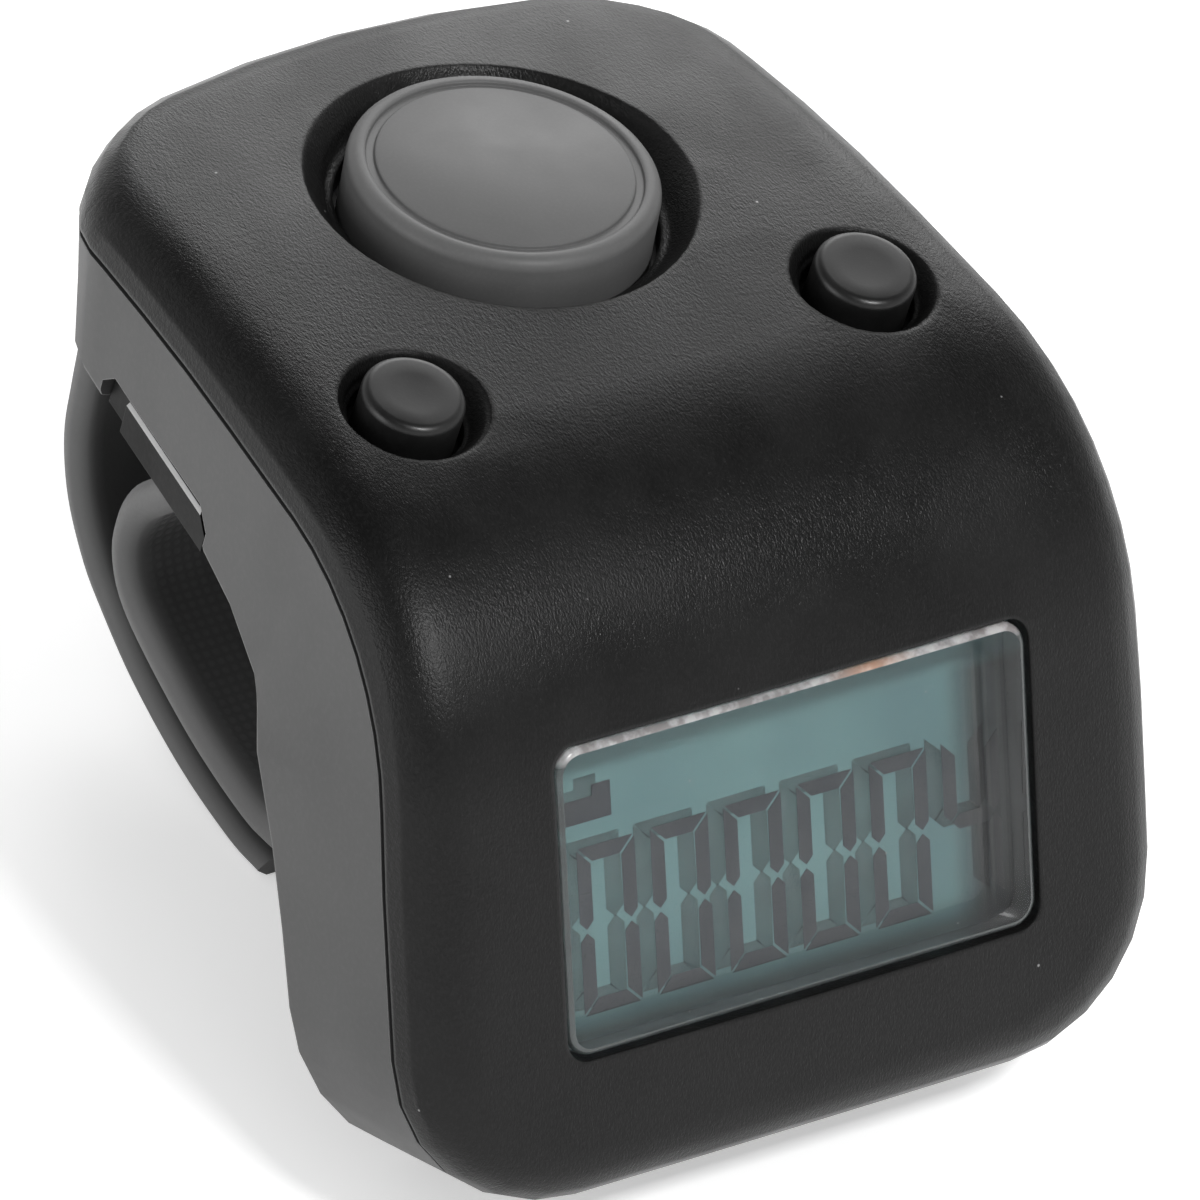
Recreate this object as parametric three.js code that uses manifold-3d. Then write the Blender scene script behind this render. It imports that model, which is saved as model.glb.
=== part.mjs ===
// A finger-worn digital tally counter: an arched two-part housing with a display window and three
// buttons, a finger-side cover, the electronics inside, and a silicone strap that closes the ring.
// Millimetres. X to the wearer's right, Y from the display to the back, Z up; the count button is upright.
import * as THREE from 'three';
import { mergeVertices } from 'three/addons/utils/BufferGeometryUtils.js';
import Module from 'manifold-3d';

const wasm = await Module();
wasm.setup();

const degrees = Math.PI / 180;

// Side outline of the housing, measured from the count button's axis and the standing plane
const topHeight = 23.54;          // where the two top slopes would cross
const topCrossing = -0.75;
const rearSlope = -3 * degrees;   // falls towards the back
const frontSlope = 5.5 * degrees; // falls towards the display
const topRadius = 60;
const backReach = 10.05;          // back edge behind the count axis
const bendReach = 16.25;          // corner between top and display face, ahead of the count axis
const bendRadius = 11;
const displayLean = 20.25 * degrees;
const backLean = 16 * degrees;    // the back face draws in below the parting line

// Finger side of the housing
const topThickness = 7.02;
const undersideSlope = 6 * degrees;
const legThickness = 7.7;
const footDrop = 0.09;            // the leg's end stands this much lower than its finger-side corner needs
// Display face from the bend's corner to its lower end, so that the leg reaches the standing plane
const legLength = (topHeight - (bendReach + topCrossing) * Math.tan(frontSlope)
  - legThickness * Math.sin(displayLean)) / Math.cos(displayLean) + footDrop;
const legTaper = 3.65 * degrees;  // the leg thickens upwards
const saddleSlope = 50.5 * degrees;
const saddleCorner = 9.05 - bendReach; // where underside and saddle slope would cross
const saddleRadius = 9.5;
const legRadius = 20;

// Plan of the housing
const frontWidth = 28;
const backWidth = 23.7;
const flareEnd = 35;              // distance along the top where the full width is reached
const backCorner = 5;
const frontCorner = 5.8;
const backBow = 2.3;
const endFade = 11;
const faceCrown = 0.35;
const edgeRadius = 1.95;
const edgeFlat = 0.1;             // least upright wall left below a rounded edge
const fingerEdgeRadius = 0.35;

// Walls and parting lines
const shellWall = 1.3;
const shellDepth = 2.05;          // parting line below the outer surface
const partingGap = 0.2;
const frameWall = 1.5;             // beside the finger-side cover
const frameLedge = 0.6;           // the cover's rim lies under this step
const coverThickness = 1.3;
const fitGap = 0.15;

// Count button and its pocket
const countRadius = 4.95;
const countProud = 0.52;
const pocketRadius = 6.6;
const pocketDepth = 1.3;
const pocketFloor = 0.8;
const countTravel = 0.5;
const ringRadius = 4.23;
const ringWidth = 0.26;
const ringDepth = 0.14;
const buttonGap = 0.2;
const buttonEdge = 0.5;
const flangeWidth = 0.65;
const flangeHeight = 0.4;
const hollowDepth = 1.25;         // underside of the count button's face, below its top
const postRadius = 1.2;

// Small buttons
const sideButtonX = frontWidth / 2 - 5.56;
const sideButtonY = 8.4 - bendReach;
const sideButtonTilt = 9 * degrees;
const sideButtonRadius = 1.65;
const sideButtonProud = 0.45;
const sidePocketRadius = 2.5;
const sidePocketDepth = 0.85;
const sidePocketFloor = 0.5;
const sideFlangeWidth = 0.5;
const sideFlangeHeight = 0.25;
const sideTravel = 0.4;

// Display window and what lies behind it, as depths below the display face
const windowWidth = frontWidth - 10.2;
const windowHeight = legLength * 0.4964;
const windowCorner = 0.8;
const windowDistance = legLength * 0.5181; // window centre from the corner above it, along the face
const lensRecess = 0.2;
const lensFlangeFront = 1.6;
const lensFlangeBack = 2;
const lensFlangeWidth = 0.6;
const glassFront = 2.05;
const glassWidth = windowWidth + 2.2;
const glassHeight = windowHeight + 1.1;
const glassSheet = 0.5;
const contactLedge = 1.1;         // front glass left bare for the contact strip
const bezelWall = 0.5;
const bezelGap = 0.1;
const guideThickness = 0.6;
const boardThickness = 0.6;
const displayBoardWidth = glassWidth + 1.4;
const displayBoardTop = glassHeight / 2 + 2.9;
const cellSpringHeight = 0.2;
const cellDiameter = 12.5;
const cellThickness = 1.6;
const cellRise = displayBoardTop - 4.1; // cell centre above the window centre
const springRadius = 4;
const cellChamfer = 0.2;
const cellShift = 8.3 - displayBoardWidth / 2;
const clipThickness = 0.15;
const clipWidth = 4;

// Key board and switches
const keyBoardDepth = 4.1;        // below the count pocket's rim
const keyBoardFront = bendReach - 6.35;
const keyBoardRear = 2.3;
const keyBoardWidth = backWidth - 4.9;
const switchClearance = 0.05;
const countSwitchWidth = 4.5;
const sideSwitchWidth = 2.6;
const plungerRadius = 0.9;
const sidePlungerRadius = 0.55;
const plungerGap = 0.15;
const restHeight = 0.5;
const ribbonThickness = 0.12;
const ribbonWidth = 4.6;
const ribbonShift = keyBoardWidth / 2 - 3.4;

// Strap
const strapWidth = backWidth - 9.7;
const strapThickness = 1.2;
const strapTail = 0.56;           // thickness of the folded-back end
const tailTaper = 16;
const strapHead = 2.3;            // bead that anchors the strap inside the leg
const strapHeadLength = 1.5;
const strapRim = 0.45;
const strapGap = 0.3;
const rearSlotFront = 2.6;        // slot in the cover, behind the count axis
const rearSlotLength = 3;
const rearSlotDepths = [-5.4, 0.6]; // below and above the strap's crest
const strapCrest = topHeight - 4.16; // middle of the strap where it lies highest
const wallSlotBottom = strapCrest - 0.98; // slot in the back wall
const wallSlotHeight = 1.95;
const legSlotCentre = -legLength / 6; // slot in the leg, measured from the window centre
const legSlotDepths = [-legThickness - 3.3, 3.1 - legThickness];
const legSlotHeight = 2.2;

// Screws
const screwHeadRadius = 1.1;
const screwHeadHeight = 0.5;
const screwRadius = 0.7;
const rearScrewLength = 2.8;
const legScrewLength = 1.9;
const screwSink = 0.15;
const screwGap = 0.1;
const bossRadius = 1.35;
const rearScrewX = backWidth / 2 - 2.95;
const rearScrewY = 3.9;
const legScrewX = frontWidth / 2 - 3.5;
const legScrewRise = windowDistance - legLength + 3.6; // from the window centre
const rearBossEnd = -4.4;
const legBossEnd = -3.3;
const boreEnd = 0.3;               // a boss is closed this much beyond its bore
const ribLength = 2;              // ties a rear boss to the side wall
const ribHalf = 0.8;
const crossHalf = 0.6;            // recess in a screw's head
const crossWidth = 0.12;
const crossDepth = 0.25;

// Small pieces on the display board, measured from the window centre
const contactStripHeight = 0.85;
const guideMargin = 0.3;
const guideDrop = 1.2;            // the light guide ends below the glass's upper edge
const ledWidth = 1.6;
const ledHeight = 0.8;
const ledCentre = 3;
const chipPlace = [displayBoardWidth / 2 - 2.5, -0.5];
const chipProfile = [[0, 0.9], [0.8, 0.8], [1.4, 0.45], [1.7, 0], [0, 0]];
const restWidth = 1;              // rests under the two boards
const restOverlap = 0.8;
const displayRests = [-2.6, 3.2];
const meshTolerance = 0.004;
const shortestEdge = 0.006;

// Opening in the left wall where the cover can be lifted
const pryFront = -4.7;
const pryRear = 2.4;
const pryHeight = 1.4;
const pryCorner = 0.65;

const material = (color, roughness, metalness = 0) =>
  new THREE.MeshStandardMaterial({ color, roughness, metalness });
const blackPlastic = material(0x17181a, 0.5);
const frameGrey = material(0x4c4d4f, 0.45);
const buttonGrey = material(0x6e7072, 0.6);
const buttonBlack = material(0x101113, 0.35);
const strapRubber = material(0x35373a, 0.8);
const boardGreen = material(0x1f5a38, 0.6);
const partBlack = material(0x1b1b1d, 0.6);
const bezelWhite = material(0xd8dad6, 0.5);
const glassTeal = material(0x7f9a96, 0.2);
const lensClear = material(0xe6eeee, 0.05);
const steel = material(0xb9bcc0, 0.3, 1);
const contactPink = material(0xb48a94, 0.7);
const filmAmber = material(0xb8863a, 0.5);
const ledAmber = material(0xe8a050, 0.3);

// A closed solid from any closed geometry, turned right side out
function solid(geometry) {
  let bare = new THREE.BufferGeometry();
  bare.setAttribute('position', geometry.getAttribute('position').clone());
  if (geometry.index) bare.setIndex(geometry.index.clone());
  bare = mergeVertices(bare, 1e-4);
  const position = bare.getAttribute('position');
  const index = bare.index.array;
  const triangles = [];
  for (let i = 0; i < index.length; i += 3) {
    const [a, b, c] = [index[i], index[i + 1], index[i + 2]];
    if (a !== b && b !== c && c !== a) triangles.push(a, b, c);
  }
  let volume = 0;
  const [p, q, r] = [new THREE.Vector3(), new THREE.Vector3(), new THREE.Vector3()];
  for (let i = 0; i < triangles.length; i += 3) {
    p.fromBufferAttribute(position, triangles[i]);
    q.fromBufferAttribute(position, triangles[i + 1]);
    r.fromBufferAttribute(position, triangles[i + 2]);
    volume += p.dot(q.cross(r));
  }
  if (volume < 0) {
    for (let i = 0; i < triangles.length; i += 3) {
      [triangles[i], triangles[i + 1]] = [triangles[i + 1], triangles[i]];
    }
  }
  return new wasm.Manifold(new wasm.Mesh({
    numProp: 3,
    vertProperties: new Float32Array(position.array),
    triVerts: new Uint32Array(triangles),
  }));
}

function geometryOf(body) {
  const mesh = body.getMesh();
  const geometry = new THREE.BufferGeometry();
  geometry.setAttribute('position', new THREE.BufferAttribute(new Float32Array(mesh.vertProperties), 3));
  geometry.setIndex(new THREE.BufferAttribute(new Uint32Array(mesh.triVerts), 1));
  geometry.computeVertexNormals();
  return geometry;
}

// Closes up very short edges, which leave slivers in the faces beside them
function withoutShortEdges(body) {
  const { vertProperties, triVerts } = body.getMesh();
  const spots = Array.from({ length: vertProperties.length / 3 },
    (_, i) => new THREE.Vector3().fromArray(vertProperties, 3 * i));
  const keptAs = spots.map((_, i) => i);
  const kept = (i) => (keptAs[i] === i ? i : kept(keptAs[i]));
  for (let i = 0; i < triVerts.length; i += 1) {
    const next = i % 3 === 2 ? i - 2 : i + 1;
    const [a, b] = [kept(triVerts[i]), kept(triVerts[next])];
    if (a !== b && spots[a].distanceTo(spots[b]) < shortestEdge) keptAs[b] = a;
  }
  const triangles = [];
  for (let i = 0; i < triVerts.length; i += 3) {
    const [a, b, c] = [kept(triVerts[i]), kept(triVerts[i + 1]), kept(triVerts[i + 2])];
    if (a !== b && b !== c && c !== a) triangles.push(a, b, c);
  }
  const mesh = new wasm.Mesh({ numProp: 3, vertProperties, triVerts: new Uint32Array(triangles) });
  return new wasm.Manifold(mesh);
}

const fuse = (...bodies) => bodies.reduce((whole, body) => whole.add(body));
const cut = (body, ...tools) => tools.reduce((rest, tool) => rest.subtract(tool), body);

// Side outline as straight runs joined by fillets; each place along it knows its outward normal
class Outline {
  constructor(corners) {
    this.parts = [];
    let from = new THREE.Vector2(corners[0].y, corners[0].z);
    for (let i = 1; i < corners.length; i += 1) {
      const corner = new THREE.Vector2(corners[i].y, corners[i].z);
      const inward = corner.clone().sub(from).normalize();
      if (i === corners.length - 1) {
        this.addLine(from, corner);
        break;
      }
      const next = new THREE.Vector2(corners[i + 1].y, corners[i + 1].z);
      const outward = next.clone().sub(corner).normalize();
      const turn = Math.atan2(inward.cross(outward), inward.dot(outward));
      const reach = corners[i].r * Math.tan(Math.abs(turn) / 2);
      const start = corner.clone().addScaledVector(inward, -reach);
      this.addLine(from, start);
      this.parts.push({
        start, heading: inward, radius: corners[i].r, turn, length: corners[i].r * Math.abs(turn),
      });
      from = corner.clone().addScaledVector(outward, reach);
    }
    this.length = this.parts.reduce((sum, part) => sum + part.length, 0);
  }

  addLine(from, to) {
    const heading = to.clone().sub(from);
    this.parts.push({ start: from, heading: heading.clone().normalize(), turn: 0, length: heading.length() });
  }

  at(distance) {
    let left = distance;
    let index = 0;
    while (index < this.parts.length - 1 && left > this.parts[index].length) {
      left -= this.parts[index].length;
      index += 1;
    }
    const part = this.parts[index];
    const side = Math.sign(part.turn);
    const angle = part.turn ? side * left / part.radius : 0;
    const heading = part.heading.clone().rotateAround(new THREE.Vector2(), angle);
    const point = part.start.clone();
    if (part.turn) {
      const toCentre = new THREE.Vector2(-part.heading.y, part.heading.x).multiplyScalar(side * part.radius);
      const centre = point.clone().add(toCentre);
      point.rotateAround(centre, angle);
    } else {
      point.addScaledVector(part.heading, left);
    }
    return { point, heading, outward: new THREE.Vector2(heading.y, -heading.x) };
  }

  stations(lineStep, arcStep) {
    const places = [0];
    let along = 0;
    for (const part of this.parts) {
      const step = part.turn ? Math.min(lineStep, part.radius * arcStep) : lineStep;
      const count = Math.max(1, Math.ceil(part.length / step));
      for (let i = 1; i <= count; i += 1) places.push(along + part.length * i / count);
      along += part.length;
    }
    return places;
  }
}

// Outer outline, from the back over the top and down the display face
const down = (lean) => new THREE.Vector2(-Math.sin(lean), -Math.cos(lean));
const onLine = (y0, z0, slope, y) => z0 + (y - y0) * Math.tan(slope);
const bendCorner = { y: -bendReach, z: onLine(topCrossing, topHeight, frontSlope, -bendReach), r: bendRadius };
const legEnd = new THREE.Vector2(bendCorner.y, bendCorner.z).addScaledVector(down(displayLean), legLength);
const outer = new Outline([
  { y: backReach, z: onLine(topCrossing, topHeight, rearSlope, backReach) },
  { y: topCrossing, z: topHeight, r: topRadius },
  bendCorner,
  { y: legEnd.x, z: legEnd.y },
]);
const outerLength = outer.length;

// Finger-side outline, from the back to the lower end of the leg, run on past both ends
const undersideHeight = topHeight - topThickness;
const undersideAt = (y) => onLine(0, undersideHeight, undersideSlope, y);
const legInnerLean = displayLean + legTaper;
const legInnerFoot = legEnd.clone().add(new THREE.Vector2(
  legThickness * Math.cos(displayLean), -legThickness * Math.sin(displayLean)));
const saddleTop = new THREE.Vector2(saddleCorner, undersideAt(saddleCorner));
const crossing = (a, aDirection, b, bDirection) => {
  const k = b.clone().sub(a).cross(bDirection) / aDirection.cross(bDirection);
  return a.clone().addScaledVector(aDirection, k);
};
const saddleDirection = new THREE.Vector2(-Math.cos(saddleSlope), -Math.sin(saddleSlope));
const legTop = crossing(saddleTop, saddleDirection, legInnerFoot, down(legInnerLean));
const runOn = 6;
const footRunOn = legInnerFoot.clone().addScaledVector(down(legInnerLean), runOn);
const inner = new Outline([
  { y: backReach + runOn, z: undersideAt(backReach + runOn) },
  { y: saddleTop.x, z: saddleTop.y, r: saddleRadius },
  { y: legTop.x, z: legTop.y, r: legRadius },
  { y: footRunOn.x, z: footRunOn.y },
]);
const innerPoints = inner.stations(2, 5 * degrees).map((place) => inner.at(place).point);

// Depth of the housing at a place along the outer outline, square to the surface
function depthAt(along) {
  const { point, outward } = outer.at(along);
  const inwards = outward.clone().negate();
  let depth = 0;
  for (let i = 1; i < innerPoints.length; i += 1) {
    const run = innerPoints[i].clone().sub(innerPoints[i - 1]);
    const offset = innerPoints[i - 1].clone().sub(point);
    const across = inwards.cross(run);
    const reach = offset.cross(run) / across;
    const share = offset.cross(inwards) / across;
    if (share >= -1e-6 && share <= 1 + 1e-6 && reach > 0) depth = reach;
  }
  return depth;
}

// Half width of the housing at a place along the outer outline
function halfWidthAt(along) {
  const rest = Math.max(0, 1 - along / flareEnd);
  return frontWidth / 2 - (frontWidth - backWidth) / 2 * rest ** 1.3;
}

// Place in space of a point of the flat pattern at a height that may depend on where it lands:
// the back edge bows and draws in, both fading along the top
function bent(spot, heightAt) {
  const fade = Math.max(0, 1 - spot.along / endFade) ** 2;
  const bow = backBow * (spot.x / (backWidth / 2)) ** 2;
  let along = spot.along + bow * fade;
  let height = heightAt(along, spot.x);
  for (let i = 0; i < 4; i += 1) {
    const drawn = Math.max(0, -height - shellDepth) * Math.tan(backLean);
    along = spot.along + (bow + drawn) * fade;
    height = heightAt(along, spot.x);
  }
  const { point, outward } = outer.at(along);
  return new THREE.Vector3(spot.x, point.x + outward.x * height, point.y + outward.y * height);
}

// Edge of the flat pattern, drawn in by an inset, as the border of a grid of rows along and columns across
const cornerSteps = 3;
const sideStations = outer.stations(3, 9 * degrees)
  .filter((place) => place > backCorner + 0.5 && place < outerLength - frontCorner - 0.5);
sideStations.unshift(backCorner);
sideStations.push(outerLength - frontCorner);
const columnsAcross = 4;
const rows = sideStations.length - 1 + 2 * cornerSteps;
const columns = columnsAcross + 2 * cornerSteps;

function sidePoint(row, side, inset) {
  let along;
  let edge = inset;
  if (row < cornerSteps) {
    const angle = (45 + 45 * row / cornerSteps) * degrees;
    along = backCorner - (backCorner - inset) * Math.cos(angle);
    edge = backCorner - (backCorner - inset) * Math.sin(angle);
  } else if (row > rows - cornerSteps) {
    const angle = (45 + 45 * (rows - row) / cornerSteps) * degrees;
    along = outerLength - frontCorner + (frontCorner - inset) * Math.cos(angle);
    edge = frontCorner - (frontCorner - inset) * Math.sin(angle);
  } else {
    along = sideStations[row - cornerSteps];
  }
  return { x: side * (halfWidthAt(along) - edge), along };
}

function endPoint(column, atFront, inset) {
  const corner = atFront ? frontCorner : backCorner;
  const mirrored = column > columns / 2;
  const step = mirrored ? columns - column : column;
  const side = mirrored ? 1 : -1;
  const sign = atFront ? 1 : -1;
  const base = atFront ? outerLength - corner : corner;
  if (step < cornerSteps) {
    const angle = 45 * (1 - step / cornerSteps) * degrees;
    const along = base + sign * (corner - inset) * Math.cos(angle);
    return { x: side * (halfWidthAt(along) - corner + (corner - inset) * Math.sin(angle)), along };
  }
  const along = base + sign * (corner - inset);
  const share = (column - cornerSteps) / columnsAcross * 2 - 1;
  return { x: share * (halfWidthAt(along) - corner), along };
}

function border(inset) {
  const loop = [];
  for (let i = 0; i < rows; i += 1) loop.push(sidePoint(i, -1, inset));
  for (let j = 0; j < columns; j += 1) loop.push(endPoint(j, true, inset));
  for (let i = rows; i > 0; i -= 1) loop.push(sidePoint(i, 1, inset));
  for (let j = columns; j > 0; j -= 1) loop.push(endPoint(j, false, inset));
  return loop;
}

// Position in the border of a grid place that lies on it
function borderIndex(row, column) {
  if (column === 0) return row;
  if (row === rows) return rows + column;
  if (column === columns) return 2 * rows + columns - row;
  if (row === 0) return 2 * (rows + columns) - column;
  return -1;
}

// A place inside the pattern, spanned between its four border lines
function insidePoint(row, column, inset) {
  const blend = (a, b, t) => a + (b - a) * t;
  const [left, right] = [sidePoint(row, -1, inset), sidePoint(row, 1, inset)];
  const [back, front] = [endPoint(column, false, inset), endPoint(column, true, inset)];
  const [backLeft, backRight] = [sidePoint(0, -1, inset), sidePoint(0, 1, inset)];
  const [frontLeft, frontRight] = [sidePoint(rows, -1, inset), sidePoint(rows, 1, inset)];
  const u = column / columns;
  const v = (left.along - backLeft.along) / (frontLeft.along - backLeft.along);
  const span = (key) => blend(left[key], right[key], u) + blend(back[key], front[key], v)
    - blend(blend(backLeft[key], backRight[key], u), blend(frontLeft[key], frontRight[key], u), v);
  return { x: span('x'), along: span('along') };
}

// A layer of the housing between two heights of the flat pattern, bent to the side outline.
// top and bottom give heights from the place along and the distance across.
function layer({ inset = 0, top, bottom, topRound = 0, bottomRound = 0 }) {
  const vertices = [];
  const triangles = [];
  const add = (spot, heightAt) => {
    vertices.push(...bent(spot, heightAt).toArray());
    return vertices.length / 3 - 1;
  };
  const ring = (drawIn, heightAt) => border(inset + drawIn).map((spot) => add(spot, heightAt));
  const loops = [];
  const steps = (round) => (round ? Math.max(2, Math.round(round * 2)) : 0);
  for (let i = 0; i <= steps(bottomRound); i += 1) {
    const angle = (1 - i / Math.max(1, steps(bottomRound))) * Math.PI / 2 * (bottomRound ? 1 : 0);
    loops.push(ring(bottomRound * (1 - Math.cos(angle)),
      (along, x) => bottom(along, x) + bottomRound * (1 - Math.sin(angle))));
  }
  for (let i = 0; i <= steps(topRound); i += 1) {
    const angle = i / Math.max(1, steps(topRound)) * Math.PI / 2 * (topRound ? 1 : 0);
    loops.push(ring(topRound * (1 - Math.cos(angle)), (along, x) => {
      const drop = Math.min(topRound, top(along, x) - bottom(along, x) - edgeFlat);
      return top(along, x) - drop * (1 - Math.sin(angle));
    }));
  }
  for (let k = 1; k < loops.length; k += 1) {
    const [below, above] = [loops[k - 1], loops[k]];
    for (let i = 0; i < below.length; i += 1) {
      const next = (i + 1) % below.length;
      triangles.push(below[i], below[next], above[next], below[i], above[next], above[i]);
    }
  }
  const faces = [[loops.at(-1), topRound, top, true], [loops[0], bottomRound, bottom, false]];
  for (const [loop, drawIn, height, flip] of faces) {
    const grid = [];
    for (let i = 0; i <= rows; i += 1) {
      for (let j = 0; j <= columns; j += 1) {
        const edge = borderIndex(i, j);
        grid.push(edge < 0 ? add(insidePoint(i, j, inset + drawIn), height) : loop[edge]);
      }
    }
    for (let i = 0; i < rows; i += 1) {
      for (let j = 0; j < columns; j += 1) {
        const a = grid[i * (columns + 1) + j];
        const b = grid[i * (columns + 1) + j + 1];
        const c = grid[(i + 1) * (columns + 1) + j + 1];
        const d = grid[(i + 1) * (columns + 1) + j];
        triangles.push(...(flip ? [a, c, b, a, d, c] : [a, b, c, a, c, d]));
      }
    }
  }
  const geometry = new THREE.BufferGeometry();
  geometry.setAttribute('position', new THREE.Float32BufferAttribute(vertices, 3));
  geometry.setIndex(triangles);
  return solid(geometry);
}

const flat = (height) => () => height;
const crowned = (along, x) => -faceCrown * (x / halfWidthAt(along)) ** 2;
const fromFinger = (height) => (along) => height - depthAt(along);

// Frames of the sloping pieces: count button, small buttons and display, each with Z out of the housing
const rimHeight = outer.at(outerPlaceAt(0)).point.y;
const countFrame = new THREE.Matrix4().setPosition(0, 0, rimHeight);

// Place along the outer outline that lies at a given y
function outerPlaceAt(y) {
  let low = 0;
  let high = outerLength;
  for (let i = 0; i < 40; i += 1) {
    const middle = (low + high) / 2;
    if (outer.at(middle).point.x > y) low = middle;
    else high = middle;
  }
  return (low + high) / 2;
}

const sideFrame = (side) => new THREE.Matrix4()
  .makeRotationX(sideButtonTilt)
  .setPosition(side * sideButtonX, sideButtonY, outer.at(outerPlaceAt(sideButtonY)).point.y - faceCrown / 3);
const displayCentre = new THREE.Vector2(bendCorner.y, bendCorner.z).addScaledVector(down(displayLean), windowDistance);
const displayFrame = new THREE.Matrix4()
  .makeRotationX(Math.PI / 2 - displayLean)
  .setPosition(0, displayCentre.x, displayCentre.y);

const inFrame = (geometry, frame) => solid(geometry.clone().applyMatrix4(frame));

// A turned piece from [radius, height] pairs, its axis along Z
function turned(profile, segments = 40) {
  const points = profile.map(([radius, height]) => new THREE.Vector2(radius, height));
  return new THREE.LatheGeometry(points, segments).rotateX(Math.PI / 2);
}

// A plate with rounded corners centred on its frame, from one height to another
function plate(width, height, low, high, corner = 0.3, x = 0, y = 0) {
  const [w, h, r] = [width / 2, height / 2, Math.max(0.02, corner)];
  const shape = new THREE.Shape();
  shape.absarc(w - r, h - r, r, 0, Math.PI / 2);
  shape.absarc(r - w, h - r, r, Math.PI / 2, Math.PI);
  shape.absarc(r - w, r - h, r, Math.PI, 1.5 * Math.PI);
  shape.absarc(w - r, r - h, r, 1.5 * Math.PI, 2 * Math.PI);
  const geometry = new THREE.ExtrudeGeometry(shape, { depth: high - low, bevelEnabled: false, curveSegments: 4 });
  return geometry.translate(x, y, low);
}

function block(x0, x1, y0, y1, z0, z1) {
  return new THREE.BoxGeometry(x1 - x0, y1 - y0, z1 - z0)
    .translate((x0 + x1) / 2, (y0 + y1) / 2, (z0 + z1) / 2);
}

const group = new THREE.Group();
function addPart(name, body, finish) {
  const clean = withoutShortEdges(body.simplify(meshTolerance));
  const mesh = new THREE.Mesh(geometryOf(clean), finish);
  mesh.name = name;
  group.add(mesh);
  return mesh;
}

// Heights in the count button's frame, whose plane is the pocket's rim
const holeRadius = countRadius + buttonGap;
const cupBottom = -pocketDepth - pocketFloor;
const flangeTop = cupBottom - buttonGap;
const flangeBottom = flangeTop - flangeHeight;
const boardTop = -keyBoardDepth;
const hollowTop = countProud - hollowDepth;
const switchTop = flangeBottom + 0.3;
const plungerTop = switchTop + countTravel + switchClearance;

// Heights in a small button's frame
const sideCupBottom = -sidePocketDepth - sidePocketFloor;
const sideFlangeTop = sideCupBottom - buttonGap;
const sideFlangeBottom = sideFlangeTop - sideFlangeHeight;

// Depths in the display's frame
const glassStep = glassFront + glassSheet;
const glassBack = glassStep + glassSheet;
const boardFront = glassBack + guideThickness;
const boardBack = boardFront + boardThickness;
const cellFront = boardBack + cellSpringHeight;
const cellBack = cellFront + cellThickness;

// A dished pocket with a hole for its button, and the cup that carries it under the shell
function pocket(frame, rim, hole, depth, floor, segments) {
  const reach = hole + 1.3;
  const cup = inFrame(turned([
    [0, -depth - floor], [reach, -depth - floor], [reach, -shellWall * 0.6], [0, -shellWall * 0.6],
  ], segments), frame);
  const dish = [];
  const steps = 6;
  for (let i = 0; i <= steps; i += 1) {
    const share = i / steps;
    dish.push([hole + (rim - hole) * share, -depth * (1 + Math.cos(Math.PI * share)) / 2]);
  }
  const hollow = inFrame(turned([
    [0, -depth - floor - 1], [hole, -depth - floor - 1], ...dish, [rim, 1.5], [0, 1.5],
  ], segments), frame);
  return { cup, hollow };
}

function topShell() {
  const outside = layer({ top: crowned, bottom: flat(-shellDepth), topRound: edgeRadius });
  const inside = layer({
    inset: shellWall, top: flat(-shellWall), bottom: flat(-shellDepth - 1), topRound: edgeRadius - shellWall,
  });
  const count = pocket(countFrame, pocketRadius, holeRadius, pocketDepth, pocketFloor, 48);
  const sides = [-1, 1].map((side) => pocket(sideFrame(side), sidePocketRadius,
    sideButtonRadius + buttonGap, sidePocketDepth, sidePocketFloor, 28));
  const body = fuse(cut(outside, inside), count.cup, ...sides.map((one) => one.cup));
  const opening = inFrame(plate(windowWidth, windowHeight, -shellWall - 2, 3, windowCorner), displayFrame);
  return cut(body, count.hollow, ...sides.map((one) => one.hollow), opening);
}

// Screws stand in frames whose Z points out of the finger side; their heads rest in the cover
const rearScrewFrame = (side) => new THREE.Matrix4()
  .makeRotationX(Math.PI + undersideSlope)
  .setPosition(side * rearScrewX, rearScrewY, undersideAt(rearScrewY));
const legScrewFrame = (side) => {
  const along = outerLength - (legLength - windowDistance) - legScrewRise;
  const { point, outward } = outer.at(along);
  const depth = depthAt(along);
  return new THREE.Matrix4()
    .makeRotationX(-Math.PI / 2 - displayLean - legTaper)
    .setPosition(side * legScrewX, point.x - outward.x * depth, point.y - outward.y * depth);
};
const screwSeat = -screwSink - screwHeadHeight;

function screw(frame, length) {
  const profile = [
    [0, screwSeat - length], [screwRadius - 0.15, screwSeat - length], [screwRadius, screwSeat - length + 0.3],
    [screwRadius, screwSeat], [screwHeadRadius, screwSeat], [screwHeadRadius, -screwSink - 0.15],
    [screwHeadRadius - 0.25, -screwSink], [0, -screwSink],
  ];
  const recess = [0, 90].map((turn) => inFrame(
    block(-crossHalf, crossHalf, -crossWidth, crossWidth, -screwSink - crossDepth, crossHalf)
      .rotateZ(turn * degrees), frame));
  return cut(inFrame(turned(profile, 20), frame), ...recess);
}

const screwBore = (frame, radius, from, to) =>
  inFrame(turned([[0, from], [radius, from], [radius, to], [0, to]], 20), frame);

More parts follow.
